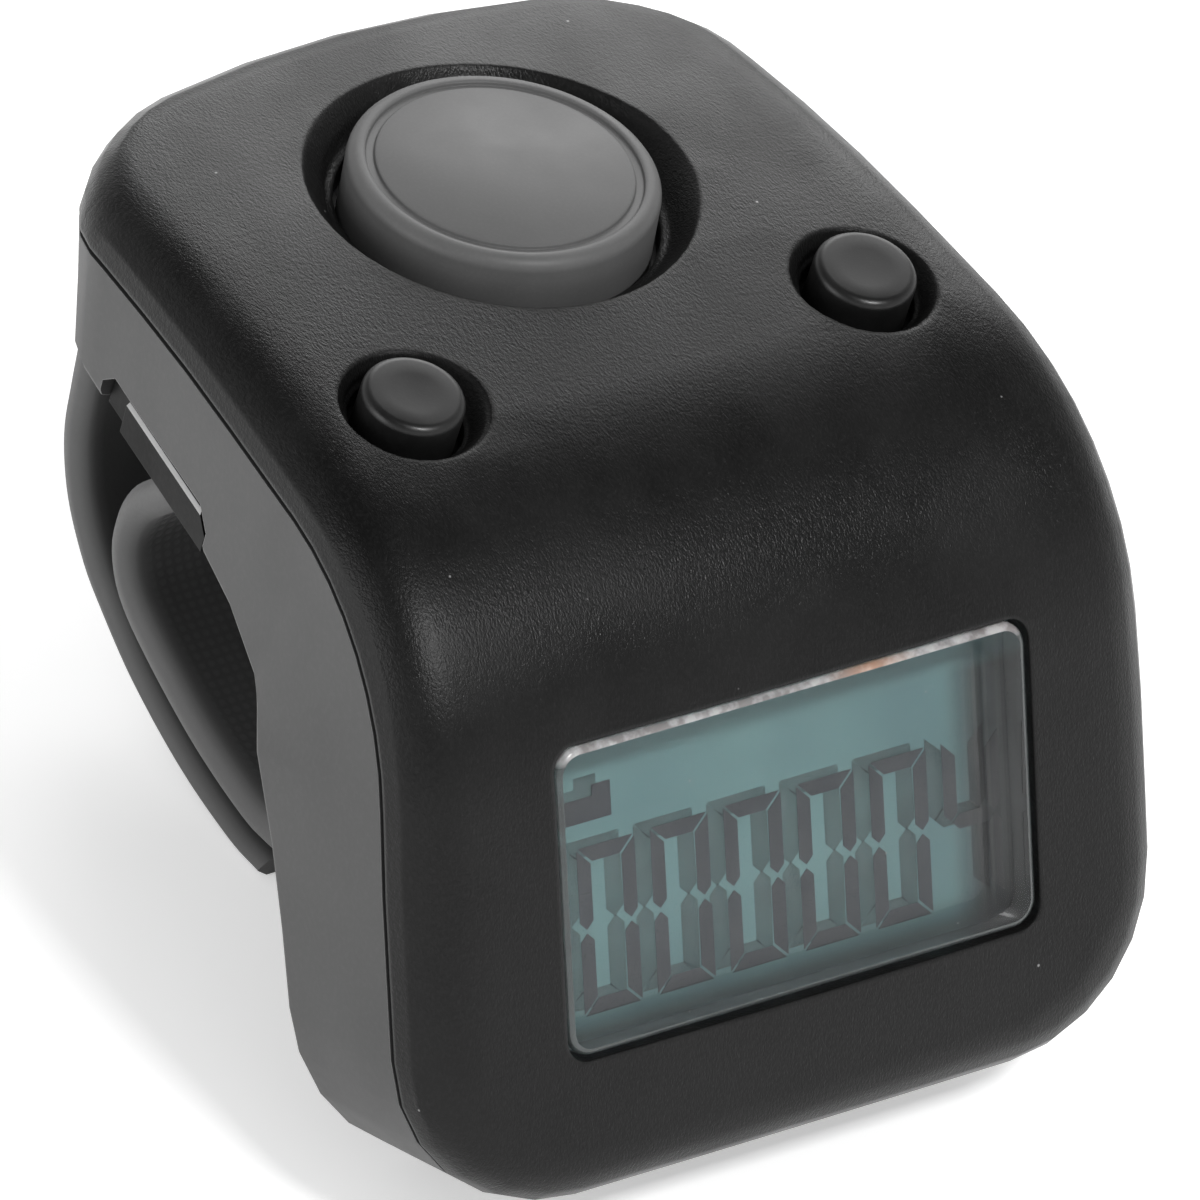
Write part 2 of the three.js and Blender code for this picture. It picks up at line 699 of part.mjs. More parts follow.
function saddleCover() {
  const body = layer({
    inset: frameWall + fitGap, top: fromFinger(coverThickness), bottom: fromFinger(0), topRound: 0, bottomRound: 0.2,
  });
  const slotHalf = strapWidth / 2 + strapGap;
  const [slotLow, slotHigh] = rearSlotDepths.map((depth) => strapCrest + depth);
  const rearSlot = solid(
    block(-slotHalf, slotHalf, rearSlotFront, rearSlotFront + rearSlotLength, slotLow, slotHigh));
  const legSlot = inFrame(
    block(-slotHalf, slotHalf, legSlotCentre - legSlotHeight / 2, legSlotCentre + legSlotHeight / 2,
      ...legSlotDepths),
    displayFrame);
  const holes = [];
  for (const side of [-1, 1]) {
    for (const frame of [rearScrewFrame(side), legScrewFrame(side)]) {
      holes.push(screwBore(frame, screwRadius + screwGap, -4, 1));
      holes.push(screwBore(frame, screwHeadRadius + screwGap, screwSeat, 1));
    }
  }
  return cut(body, rearSlot, legSlot, ...holes);
}

function middleFrame() {
  const outside = layer({
    top: flat(-shellDepth - partingGap), bottom: fromFinger(0), bottomRound: fingerEdgeRadius,
  });
  const inside = layer({
    inset: frameWall + frameLedge, top: flat(-1), bottom: fromFinger(coverThickness),
  });
  const coverSpace = layer({
    inset: frameWall, top: fromFinger(coverThickness + fitGap), bottom: (along) => -depthAt(along) - 1,
  });
  let body = cut(outside, inside, coverSpace);

  // Bosses for the cover's screws and rests for the two boards, grown from the side walls
  const grown = [];
  const bores = [];
  for (const side of [-1, 1]) {
    const rear = rearScrewFrame(side);
    const leg = legScrewFrame(side);
    const bossEnd = -coverThickness - fitGap;
    grown.push(screwBore(rear, bossRadius, rearBossEnd, bossEnd), screwBore(leg, bossRadius, legBossEnd, bossEnd));
    grown.push(inFrame(block(Math.min(0, side * ribLength), Math.max(0, side * ribLength),
      -ribHalf, ribHalf, rearBossEnd, bossEnd), rear));
    bores.push(screwBore(rear, screwRadius + screwGap, rearBossEnd + boreEnd, 0));
    bores.push(screwBore(leg, screwRadius + screwGap, legBossEnd + boreEnd, 0));
    const boardUnder = rimHeight - keyBoardDepth - boardThickness;
    for (const y of [-keyBoardFront + 0.1, keyBoardRear - restWidth - 0.1]) {
      const near = side * (keyBoardWidth / 2 - restOverlap);
      const far = side * (halfWidthAt(outerPlaceAt(y)) - frameWall / 2);
      grown.push(solid(block(Math.min(near, far), Math.max(near, far), y, y + restWidth,
        boardUnder - restHeight, boardUnder)));
    }
    const near = side * (displayBoardWidth / 2 - restOverlap);
    const far = side * (frontWidth / 2 - frameWall / 2);
    for (const rise of displayRests) {
      grown.push(inFrame(block(Math.min(near, far), Math.max(near, far), rise, rise + restWidth,
        -boardBack - restWidth, -boardBack), displayFrame));
    }
  }
  body = cut(fuse(body, ...grown), ...bores);

  const slotHalf = strapWidth / 2 + strapGap;
  const wallSlot = solid(block(-slotHalf, slotHalf, backReach - 4.5, backReach + 1,
    wallSlotBottom, wallSlotBottom + wallSlotHeight));
  const [low, high] = [-3, pryHeight];
  const shape = new THREE.Shape([
    new THREE.Vector2(pryFront, low), new THREE.Vector2(pryRear, low),
    new THREE.Vector2(pryRear, high - pryCorner), new THREE.Vector2(pryRear - pryCorner, high),
    new THREE.Vector2(pryFront + pryCorner, high), new THREE.Vector2(pryFront, high - pryCorner),
  ]);
  // The shape lies in the side plane: its first axis turns to Y, its second to Z
  const prySlot = new THREE.ExtrudeGeometry(shape, { depth: 6, bevelEnabled: false })
    .applyMatrix4(new THREE.Matrix4().makeBasis(
      new THREE.Vector3(0, 1, 0), new THREE.Vector3(0, 0, 1), new THREE.Vector3(1, 0, 0)))
    .rotateX(undersideSlope)
    .translate(-backWidth / 2 - 4.5, 0, undersideHeight);
  return cut(body, wallSlot, solid(prySlot));
}

function countButton() {
  const edge = [];
  const steps = 4;
  for (let i = 0; i <= steps; i += 1) {
    const angle = i / steps * Math.PI / 2;
    edge.push([countRadius - buttonEdge * (1 - Math.cos(angle)), countProud - buttonEdge * (1 - Math.sin(angle))]);
  }
  const flangeRadius = holeRadius + flangeWidth;
  const hollowRadius = countRadius - 0.9;
  return inFrame(turned([
    [0, plungerTop], [postRadius, plungerTop], [postRadius, hollowTop], [hollowRadius, hollowTop],
    [hollowRadius, flangeBottom], [flangeRadius, flangeBottom], [flangeRadius, flangeTop],
    [countRadius, flangeTop], ...edge, [ringRadius + ringWidth / 2, countProud],
    [ringRadius + ringWidth / 4, countProud - ringDepth], [ringRadius - ringWidth / 4, countProud - ringDepth],
    [ringRadius - ringWidth / 2, countProud], [0, countProud],
  ], 48), countFrame);
}

function sideButton(side) {
  const edge = [];
  const steps = 3;
  const round = buttonEdge * 0.6;
  for (let i = 0; i <= steps; i += 1) {
    const angle = i / steps * Math.PI / 2;
    edge.push([sideButtonRadius - round * (1 - Math.cos(angle)), sideButtonProud - round * (1 - Math.sin(angle))]);
  }
  const flangeRadius = sideButtonRadius + buttonGap + sideFlangeWidth;
  return inFrame(turned([
    [0, sideFlangeBottom], [flangeRadius, sideFlangeBottom], [flangeRadius, sideFlangeTop],
    [sideButtonRadius, sideFlangeTop], ...edge, [0, sideButtonProud],
  ], 28), sideFrame(side));
}

// Switch bodies stand on the key board; each plunger slides in a blind bore along its button's axis
function countSwitch() {
  const body = inFrame(plate(countSwitchWidth, countSwitchWidth, boardTop, switchTop, 0.4), countFrame);
  return cut(body, inFrame(turned([
    [0, boardTop + 0.5], [plungerRadius + plungerGap, boardTop + 0.5], [plungerRadius + plungerGap, 1], [0, 1],
  ], 20), countFrame));
}

function countPlunger() {
  const low = plungerTop - countTravel - 0.4;
  return inFrame(turned([[0, low], [plungerRadius, low], [plungerRadius, plungerTop], [0, plungerTop]], 20),
    countFrame);
}

const keyBoardTop = rimHeight - keyBoardDepth;
const sideSwitchHeight = 0.75;
// The leaning button axis meets the switch a little behind the button's centre
const switchShift = 2.4 * Math.sin(sideButtonTilt);

function sideSwitch(side) {
  const half = sideSwitchWidth / 2;
  const [x, y] = [side * sideButtonX, sideButtonY + switchShift];
  const body = solid(block(x - half, x + half, y - half, y + half, keyBoardTop, keyBoardTop + sideSwitchHeight));
  const bore = sidePlungerRadius + plungerGap;
  return cut(body, inFrame(turned([[0, -3], [bore, -3], [bore, 0], [0, 0]], 20), sideFrame(side)));
}

function sidePlunger(side) {
  const low = sideFlangeBottom - sideTravel - 0.35;
  return inFrame(turned([
    [0, low], [sidePlungerRadius, low], [sidePlungerRadius, sideFlangeBottom], [0, sideFlangeBottom],
  ], 20), sideFrame(side));
}

function keyBoard() {
  const depth = keyBoardFront + keyBoardRear;
  return solid(plate(keyBoardWidth, depth, keyBoardTop - boardThickness, keyBoardTop, 1, 0,
    (keyBoardRear - keyBoardFront) / 2));
}

const inDisplay = (geometry) => inFrame(geometry, displayFrame);

function displayLens() {
  const [width, height] = [windowWidth - 0.2, windowHeight - 0.2];
  return fuse(
    inDisplay(plate(width, height, -lensFlangeBack + 0.1, -lensRecess, windowCorner - 0.1)),
    inDisplay(plate(width + 2 * lensFlangeWidth, height + 2 * lensFlangeWidth,
      -lensFlangeBack, -lensFlangeFront, windowCorner)),
  );
}

function lcdCell() {
  const rearHeight = glassHeight - contactLedge;
  return fuse(
    inDisplay(plate(glassWidth, glassHeight, -glassStep, -glassFront, 0.1)),
    inDisplay(plate(glassWidth - 0.2, rearHeight - 0.1, -glassBack, -glassStep + 0.2, 0.1,
      0, contactLedge / 2 - 0.05)),
  );
}

function displayBezel() {
  const inner = [glassWidth + 2 * bezelGap, glassHeight + 2 * bezelGap];
  const outerSize = inner.map((size) => size + 2 * bezelWall);
  const lip = [glassWidth - 0.9, glassHeight];
  return cut(
    inDisplay(plate(...outerSize, -boardFront, -lensFlangeFront - 0.1, 0.6)),
    inDisplay(plate(...inner, -boardFront - 1, -glassFront, 0.2)),
    inDisplay(plate(...lip, -glassFront - 0.5, 0, 0.2)),
  );
}

function displayBoard() {
  const low = -glassHeight / 2 - bezelGap - bezelWall;
  return inDisplay(plate(displayBoardWidth, displayBoardTop - low, -boardBack, -boardFront, 0.5, 0,
    (displayBoardTop + low) / 2));
}

const cell = (radius, from, to) =>
  turned([
    [0, -to], [radius - cellChamfer, -to], [radius, -to + cellChamfer], [radius, -from], [0, -from],
  ], 40)
    .translate(cellShift, cellRise, 0);

function cellClip() {
  const reach = cellDiameter / 2 + 0.15;
  const [left, right] = [cellShift - reach, cellShift + reach];
  const [low, high] = [cellRise - clipWidth / 2, cellRise + clipWidth / 2];
  const deep = -cellBack - clipThickness;
  return fuse(
    inDisplay(block(left - clipThickness, right + clipThickness, low, high, deep, -cellBack)),
    inDisplay(block(left - clipThickness, left, low, high, deep, -boardBack)),
    inDisplay(block(right, right + clipThickness, low, high, deep, -boardBack)),
  );
}

// Flat ribbon from under the key board to the back of the display board
function ribbonCable() {
  const up = new THREE.Vector2(Math.sin(displayLean), Math.cos(displayLean));
  const inwards = new THREE.Vector2(up.y, -up.x);
  const underBoard = keyBoardTop - boardThickness - ribbonThickness / 2;
  const onDisplay = (rise) => displayCentre.clone()
    .addScaledVector(up, rise)
    .addScaledVector(inwards, boardBack + ribbonThickness / 2);
  const start = new THREE.Vector2(-keyBoardFront + 1.6, underBoard);
  const edge = new THREE.Vector2(-keyBoardFront, underBoard);
  const arrive = onDisplay(displayBoardTop - 0.3);
  const bend = new THREE.CubicBezierCurve(edge, edge.clone().add(new THREE.Vector2(-1.2, 0)),
    arrive.clone().addScaledVector(up, 0.8), arrive);
  const line = [start, ...bend.getPoints(8), onDisplay(displayBoardTop - 1.9)];
  const half = ribbonThickness / 2;
  const sideOf = (sign) => line.map((point, i) => {
    const ahead = line[Math.min(i + 1, line.length - 1)].clone().sub(line[Math.max(i - 1, 0)]).normalize();
    return point.clone().add(new THREE.Vector2(-ahead.y, ahead.x).multiplyScalar(sign * half));
  });
  const shape = new THREE.Shape([...sideOf(1), ...sideOf(-1).reverse()]);
  const strip = new THREE.ExtrudeGeometry(shape, { depth: ribbonWidth, bevelEnabled: false })
    .applyMatrix4(new THREE.Matrix4().makeBasis(
      new THREE.Vector3(0, 1, 0), new THREE.Vector3(0, 0, 1), new THREE.Vector3(1, 0, 0)))
    .translate(ribbonShift - ribbonWidth / 2, 0, 0);
  return solid(strip);
}

// Middle line of the strap, from its bead in the leg round the finger, over the bar at the back,
// out of the back wall and back round the outside to its loose end. Heights are shares of its crest's;
// the places inside the leg are measured from the bend's corner, the others from the count axis.
const strapInLeg = [[-0.17, 0.3715], [2.49, 0.306], [4.84, 0.2446], [8.05, 0.1677]]
  .map(([behindBend, share]) => [behindBend - bendReach, share]);
const strapLine = new THREE.CatmullRomCurve3([
  ...strapInLeg, [-5.36, 0.1166], [-2.94, 0.0862], [-1.37, 0.0872], [1.45, 0.1202], [4.4, 0.1791],
  [6.2, 0.2312], [6.95, 0.289], [7.03, 0.3467], [6.49, 0.4123], [5.31, 0.4783], [4.16, 0.5537],
  [3.3, 0.6465], [3.11, 0.7456], [3.45, 0.8416], [4.05, 0.9159], [4.8, 0.9675], [6, 0.9917],
  [7.3, 1], [8.45, 1.0021], [9.4, 0.9907], [10, 0.9598], [10.24, 0.9082], [10.12, 0.8462],
  [9.86, 0.7792], [9.76, 0.6914], [9.85, 0.5903], [9.98, 0.5088], [10.17, 0.4133], [9.59, 0.3142],
  [8.45, 0.2322], [7.28, 0.1806], [4.9, 0.1042], [1.83, 0.0439], [-1.11, 0.0129], [-2.83, 0.0114],
].map(([y, share]) => new THREE.Vector3(0, y, share * strapCrest)), false, 'catmullrom', 0.5);

function strap() {
  const stations = 2 * (strapLine.points.length - 1);
  const lengths = strapLine.getLengths(stations);
  const total = lengths[stations];
  const sections = [];
  const section = (share, thickness) => {
    const centre = strapLine.getPoint(share);
    const ahead = strapLine.getTangent(share);
    const across = new THREE.Vector3(0, -ahead.z, ahead.y);
    const rim = Math.min(strapRim, thickness / 2 - 0.02);
    const ring = [];
    const corners = [[1, 1], [-1, 1], [-1, -1], [1, -1]];
    corners.forEach(([sx, sy], quarter) => {
      for (let k = 0; k <= 2; k += 1) {
        const angle = (quarter + k / 2) * Math.PI / 2;
        const x = sx * (strapWidth / 2 - rim) + rim * Math.cos(angle);
        const y = sy * (thickness / 2 - rim) + rim * Math.sin(angle);
        ring.push(centre.clone().addScaledVector(across, y).setX(x));
      }
    });
    sections.push(ring);
  };
  const headShare = strapLine.getUtoTmapping(strapHeadLength / total);
  section(0, strapHead);
  section(headShare, strapHead);
  section(headShare + 0.001, strapThickness);
  for (let i = 0; i <= stations; i += 1) {
    const share = i / stations;
    const rest = total - lengths[i];
    const thin = Math.min(1, rest / tailTaper);
    if (share > headShare + 0.002) section(share, strapTail + (strapThickness - strapTail) * thin);
  }
  const size = sections[0].length;
  const vertices = sections.flat().flatMap((point) => point.toArray());
  const triangles = [];
  for (let i = 0; i + 1 < sections.length; i += 1) {
    for (let j = 0; j < size; j += 1) {
      const [a, b] = [i * size + j, i * size + (j + 1) % size];
      triangles.push(a, b, b + size, a, b + size, a + size);
    }
  }
  const last = (sections.length - 1) * size;
  for (let j = 1; j + 1 < size; j += 1) {
    triangles.push(0, j + 1, j, last, last + j, last + j + 1);
  }
  const geometry = new THREE.BufferGeometry();
  geometry.setAttribute('position', new THREE.Float32BufferAttribute(vertices, 3));
  geometry.setIndex(triangles);
  return solid(geometry);
}

addPart('top_shell', topShell(), blackPlastic);
addPart('middle_frame', middleFrame(), frameGrey);
addPart('saddle_cover', saddleCover(), blackPlastic);
addPart('strap', strap(), strapRubber);
addPart('count_button', countButton(), buttonGrey);
addPart('count_plunger', countPlunger(), partBlack);
addPart('count_switch', countSwitch(), partBlack);
for (const [name, side] of [['left', -1], ['right', 1]]) {
  addPart(`${name}_button`, sideButton(side), buttonBlack);
  addPart(`${name}_plunger`, sidePlunger(side), partBlack);
  addPart(`${name}_switch`, sideSwitch(side), partBlack);
  addPart(`rear_screw_${name}`, screw(rearScrewFrame(side), rearScrewLength), steel);
  addPart(`leg_screw_${name}`, screw(legScrewFrame(side), legScrewLength), steel);
}
addPart('key_board', keyBoard(), boardGreen);
addPart('display_lens', displayLens(), lensClear);
addPart('lcd_cell', lcdCell(), glassTeal);
addPart('display_bezel', displayBezel(), bezelWhite);
addPart('zebra_strip', inDisplay(plate(glassWidth - 2, contactStripHeight, -boardFront, -glassStep, 0.1,
  0, (contactLedge - glassHeight) / 2 - 0.05)), contactPink);
addPart('light_guide', inDisplay(plate(glassWidth - 2 * guideMargin, glassHeight - 2 * guideDrop,
  -boardFront, -glassBack, 0.2)), bezelWhite);
const ledLow = glassHeight / 2 - guideDrop + 0.1;
addPart('backlight_led', inDisplay(block(ledCentre - ledWidth / 2, ledCentre + ledWidth / 2,
  ledLow, ledLow + ledHeight, -boardFront, -glassBack)), ledAmber);
addPart('display_board', displayBoard(), boardGreen);
addPart('cell_spring', inDisplay(turned([
  [0, -cellFront], [springRadius, -cellFront], [springRadius, -boardBack], [0, -boardBack],
]).translate(cellShift, cellRise, 0)), steel);
addPart('coin_cell', inDisplay(cell(cellDiameter / 2, cellFront, cellBack)), steel);
addPart('cell_clip', cellClip(), steel);
addPart('controller_chip', inDisplay(turned(chipProfile.map(([r, high]) => [r, -boardBack - high]), 24)
  .translate(...chipPlace, 0)), partBlack);
addPart('ribbon_cable', ribbonCable(), filmAmber);

// Origin at the middle of the standing plane
const box = new THREE.Box3().setFromObject(group);
const middle = Math.round((box.min.y + box.max.y) * 500) / 1000;
const lowest = Math.round(box.min.z * 1000) / 1000;
for (const mesh of group.children) mesh.geometry.translate(0, -middle, -lowest);

export default group;
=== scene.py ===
import bmesh
import bpy
import math
from mathutils import Matrix, Vector


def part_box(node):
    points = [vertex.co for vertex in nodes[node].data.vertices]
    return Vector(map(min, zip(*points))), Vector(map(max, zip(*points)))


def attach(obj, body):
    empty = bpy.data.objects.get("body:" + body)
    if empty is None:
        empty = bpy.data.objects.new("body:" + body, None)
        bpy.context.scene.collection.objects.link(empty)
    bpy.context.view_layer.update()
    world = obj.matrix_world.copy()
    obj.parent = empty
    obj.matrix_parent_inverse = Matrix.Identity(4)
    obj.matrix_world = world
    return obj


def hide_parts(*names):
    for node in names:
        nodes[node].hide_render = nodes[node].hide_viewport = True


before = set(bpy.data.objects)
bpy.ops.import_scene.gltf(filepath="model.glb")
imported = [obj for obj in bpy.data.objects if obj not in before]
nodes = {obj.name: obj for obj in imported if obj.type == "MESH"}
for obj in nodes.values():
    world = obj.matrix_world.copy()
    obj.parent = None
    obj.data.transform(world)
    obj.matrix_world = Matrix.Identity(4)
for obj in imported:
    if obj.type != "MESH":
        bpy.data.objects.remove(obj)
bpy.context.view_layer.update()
mm = 0.001
# places are given from the middle of the count button's top
countLow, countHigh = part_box("count_button")
home = Vector((0, (countLow.y + countHigh.y) / 2, countHigh.z))
print("frame loaded")


# camera, fitted to the photograph
cameraLook = {
    "place": (-0.31242, -0.37705, 0.35052),
    "turn": (52.698, -8.725, -33.685),
    "lens": 584.5, "sensor": 36, "near": 0.01, "far": 10,
}
cameraData = bpy.data.cameras.new("camera")
cameraData.lens = cameraLook["lens"]
cameraData.sensor_width = cameraLook["sensor"]
cameraData.clip_start = cameraLook["near"]
cameraData.clip_end = cameraLook["far"]
camera = bpy.data.objects.new("camera", cameraData)
camera.location = home + Vector(cameraLook["place"])
camera.rotation_euler = [math.radians(angle) for angle in cameraLook["turn"]]
bpy.context.scene.collection.objects.link(camera)
bpy.context.scene.camera = camera
bpy.context.scene.view_settings.view_transform = "Standard"
print("camera set")


# small helpers for shader trees
def newMaterial(name):
    material = bpy.data.materials.new(name)
    material.use_nodes = True
    return material, material.node_tree, material.node_tree.nodes["Principled BSDF"]


def feed(tree, socket, value):
    # a socket takes either a link or a plain value
    if isinstance(value, bpy.types.NodeSocket):
        tree.links.new(value, socket)
    else:
        socket.default_value = value


def addNode(tree, kind, inputs=None, **settings):
    node = tree.nodes.new(kind)
    for setting, value in settings.items():
        setattr(node, setting, value)
    for socket, value in (inputs or {}).items():
        feed(tree, node.inputs[socket], value)
    return node


def maths(tree, operation, first, second=0.0):
    return addNode(tree, "ShaderNodeMath", {0: first, 1: second}, operation=operation).outputs[0]


def ranged(tree, value, low, high, outLow, outHigh):
    node = addNode(tree, "ShaderNodeMapRange", {
        "Value": value, "From Min": low, "From Max": high, "To Min": outLow, "To Max": outHigh})
    return node.outputs["Result"]


def blended(tree, factor, first, second):
    # the mix node's colours are its sockets 6 and 7
    node = addNode(tree, "ShaderNodeMix", {"Factor": factor, 6: first, 7: second}, data_type="RGBA")
    return node.outputs[2]


def grey(level, warm=0.0):
    return (level * (1 + warm), level, level * (1 - warm), 1.0)


def bump(tree, height, depth, normal=None):
    inputs = {"Strength": 1.0, "Distance": depth, "Height": height}
    if normal is not None:
        inputs["Normal"] = normal
    return addNode(tree, "ShaderNodeBump", inputs).outputs["Normal"]


def objectPlace(tree):
    return tree.nodes.new("ShaderNodeTexCoord").outputs["Object"]


# effects that several materials share: each is one node group, placed with the material's own values
def newGroup(name, inputs, outputs):
    group = bpy.data.node_groups.new(name, "ShaderNodeTree")
    for side, sockets in (("INPUT", inputs), ("OUTPUT", outputs)):
        for socket, kind in sockets.items():
            group.interface.new_socket(socket, in_out=side, socket_type="NodeSocket" + kind)
    return group, group.nodes.new("NodeGroupInput").outputs, group.nodes.new("NodeGroupOutput").inputs


effects = {
    "edgeSamples": 6, "wearAndHighlightFrom": 0.8, "wearAndHighlightTo": 0.995, "noiseRoughness": 0.55,
    "dustSpacing": 0.002, "dustCore": 0.012, "dustSize": 0.03,
}


def edgeWearGroup():
    # sharp edges get a rounded normal, and are painted lighter where it leans away from the true one: partly
    # rubbed wear, partly a painted edge highlight
    group, given, made = newGroup("edge_wear_and_highlight", {"Radius": "Float", "Amount": "Float"},
                                  {"WearAndHighlight": "Float", "Normal": "Vector"})
    rounded = addNode(group, "ShaderNodeBevel", {"Radius": given["Radius"]},
                      samples=effects["edgeSamples"]).outputs["Normal"]
    flat = group.nodes.new("ShaderNodeNewGeometry").outputs["Normal"]
    lean = addNode(group, "ShaderNodeVectorMath", {0: rounded, 1: flat}, operation="DOT_PRODUCT")
    edgeLightening = ranged(group, lean.outputs["Value"], effects["wearAndHighlightFrom"], effects["wearAndHighlightTo"],
                    given["Amount"], 0.0)
    feed(group, made["WearAndHighlight"], edgeLightening)
    feed(group, made["Normal"], rounded)
    return group


def lumpsGroup():
    # noise as a height, and as a mask that is 0 below Low and 1 above High
    group, given, made = newGroup("lumps", {
        "Vector": "Vector", "Stretch": "Vector", "Scale": "Float", "Detail": "Float", "Low": "Float",
        "High": "Float"}, {"Mask": "Float", "Height": "Float"})
    drawn = addNode(group, "ShaderNodeMapping", {"Vector": given["Vector"], "Scale": given["Stretch"]})
    height = addNode(group, "ShaderNodeTexNoise", {
        "Vector": drawn.outputs["Vector"], "Scale": given["Scale"], "Detail": given["Detail"],
        "Roughness": effects["noiseRoughness"]}).outputs["Fac"]
    feed(group, made["Height"], height)
    feed(group, made["Mask"], ranged(group, height, given["Low"], given["High"], 0, 1))
    return group


def dustGroup():
    # few bright specks, each the same small size
    group, given, made = newGroup("dust", {"Vector": "Vector", "Amount": "Float"}, {"Mask": "Float"})
    specks = addNode(group, "ShaderNodeTexVoronoi", {
        "Vector": given["Vector"], "Scale": 1 / effects["dustSpacing"]}, feature="F1")
    feed(group, made["Mask"], ranged(group, specks.outputs["Distance"], effects["dustCore"],
                                     effects["dustSize"], given["Amount"], 0.0))
    return group


edgeWearAndHighlight, lumpsNoise, dustSpecks = edgeWearGroup(), lumpsGroup(), dustGroup()


def placed(tree, group, values):
    return addNode(tree, "ShaderNodeGroup", values, node_tree=group).outputs


def lumps(tree, place, size, detail, low=0.35, high=0.65, stretch=(1, 1, 1)):
    # size is the width of one lump, in metres
    return placed(tree, lumpsNoise, {"Vector": place, "Stretch": stretch, "Scale": 1 / size,
                                     "Detail": detail, "Low": low, "High": high})


# moulded plastic: two tones, fine grain, patches handled smooth, and edges a little lighter, partly from
# rubbed wear and partly as a painted highlight
moulding = {
    "grainFrom": 0.45, "grainTo": 0.75, "pitSize": 0.45, "pitDepth": 0.5, "roughSpread": 0.05,
    "dustTone": grey(0.5),
}


def mouldedPlastic(name, look):
    material, tree, surface = newMaterial(name)
    place = objectPlace(tree)
    drawn = (look.get("streak", 1.0), 1, 1)
    patches = lumps(tree, place, look["patch"], 3)["Mask"]
    grain = lumps(tree, place, look["grain"], 2, moulding["grainFrom"], moulding["grainTo"], drawn)
    pits = lumps(tree, place, look["grain"] * moulding["pitSize"], 1, stretch=drawn)["Height"]
    edge = placed(tree, edgeWearAndHighlight, {"Radius": look["edge"], "Amount": look["wearAndHighlight"]})
    tone = blended(tree, patches, look["dark"], look["light"])
    speckled = blended(tree, ranged(tree, grain["Mask"], 0, 1, 0, look["speckle"]), tone, look["worn"])
    # lighter edges: rubbed wear together with a painted edge highlight
    colour = blended(tree, edge["WearAndHighlight"], speckled, look["worn"])
    if "dust" in look:
        specks = placed(tree, dustSpecks, {"Vector": place, "Amount": look["dust"]})["Mask"]
        colour = blended(tree, specks, colour, moulding["dustTone"])
    feed(tree, surface.inputs["Base Color"], colour)
    feed(tree, surface.inputs["Roughness"],
         ranged(tree, patches, 0, 1, look["rough"] - moulding["roughSpread"],
                look["rough"] + moulding["roughSpread"]))
    fine = bump(tree, pits, look["grainDepth"] * moulding["pitDepth"], edge["Normal"])
    feed(tree, surface.inputs["Normal"], bump(tree, grain["Height"], look["grainDepth"], fine))
    surface.inputs["Specular IOR Level"].default_value = look["shine"]
    return material


shellBlack = mouldedPlastic("shell_black", {
    "dark": grey(0.0045), "light": grey(0.0065), "worn": grey(0.04), "speckle": 0.12, "wearAndHighlight": 0.2,
    "rough": 0.34, "shine": 0.2, "patch": 0.004, "grain": 0.00016, "grainDepth": 0.000017, "edge": 0.00022,
    "streak": 2.0, "dust": 0.5,
})
frameSatin = mouldedPlastic("frame_satin", {
    "dark": grey(0.042), "light": grey(0.047), "worn": grey(0.4), "speckle": 0.02, "wearAndHighlight": 0.6,
    "rough": 0.42, "shine": 0.35, "patch": 0.006, "grain": 0.0002, "grainDepth": 0.0000015, "edge": 0.00006,
})
coverBlack = mouldedPlastic("cover_black", {
    "dark": grey(0.012), "light": grey(0.018), "worn": grey(0.3), "speckle": 0.05, "wearAndHighlight": 0.7,
    "rough": 0.4, "shine": 0.5, "patch": 0.005, "grain": 0.00018, "grainDepth": 0.000002, "edge": 0.0001,
})
# the tab's near-black is painted shade, darker than the cover's own plastic, and its chamfer's light grey is
# a painted highlight
tabPaintedShade = mouldedPlastic("tab_painted_shade", {
    "dark": grey(0.002), "light": grey(0.003), "worn": grey(0.05), "speckle": 0.1, "wearAndHighlight": 0.2,
    "rough": 0.5, "shine": 0.12, "patch": 0.003, "grain": 0.00018, "grainDepth": 0.000003, "edge": 0.00005,
})
tabPaintedHighlight = mouldedPlastic("tab_painted_highlight", {
    "dark": grey(0.5), "light": grey(0.6), "worn": grey(0.7), "speckle": 0.1, "wearAndHighlight": 0.2,
    "rough": 0.3, "shine": 0.5, "patch": 0.003, "grain": 0.00018, "grainDepth": 0.000001, "edge": 0.00005,
})
countGrey = mouldedPlastic("button_grey", {
    "dark": grey(0.083), "light": grey(0.093), "worn": grey(0.18), "speckle": 0.08, "wearAndHighlight": 0.25,
    "rough": 0.5, "shine": 0.35, "patch": 0.003, "grain": 0.00012, "grainDepth": 0.0000015, "edge": 0.00008,
})
keyBlack = mouldedPlastic("button_black", {
    "dark": grey(0.006), "light": grey(0.009), "worn": grey(0.05), "speckle": 0.06, "wearAndHighlight": 0.3,
    "rough": 0.38, "shine": 0.4, "patch": 0.002, "grain": 0.0001, "grainDepth": 0.000001, "edge": 0.00008,
})
plungerBlack = mouldedPlastic("plunger_black", {
    "dark": grey(0.01), "light": grey(0.016), "worn": grey(0.05), "speckle": 0.1, "wearAndHighlight": 0.3,
    "rough": 0.4, "shine": 0.5, "patch": 0.001, "grain": 0.00008, "grainDepth": 0.000001, "edge": 0.00005,
})
switchBlack = mouldedPlastic("switch_black", {
    "dark": grey(0.014), "light": grey(0.02), "worn": grey(0.05), "speckle": 0.1, "wearAndHighlight": 0.3,
    "rough": 0.5, "shine": 0.45, "patch": 0.001, "grain": 0.0001, "grainDepth": 0.000001, "edge": 0.00005,
})
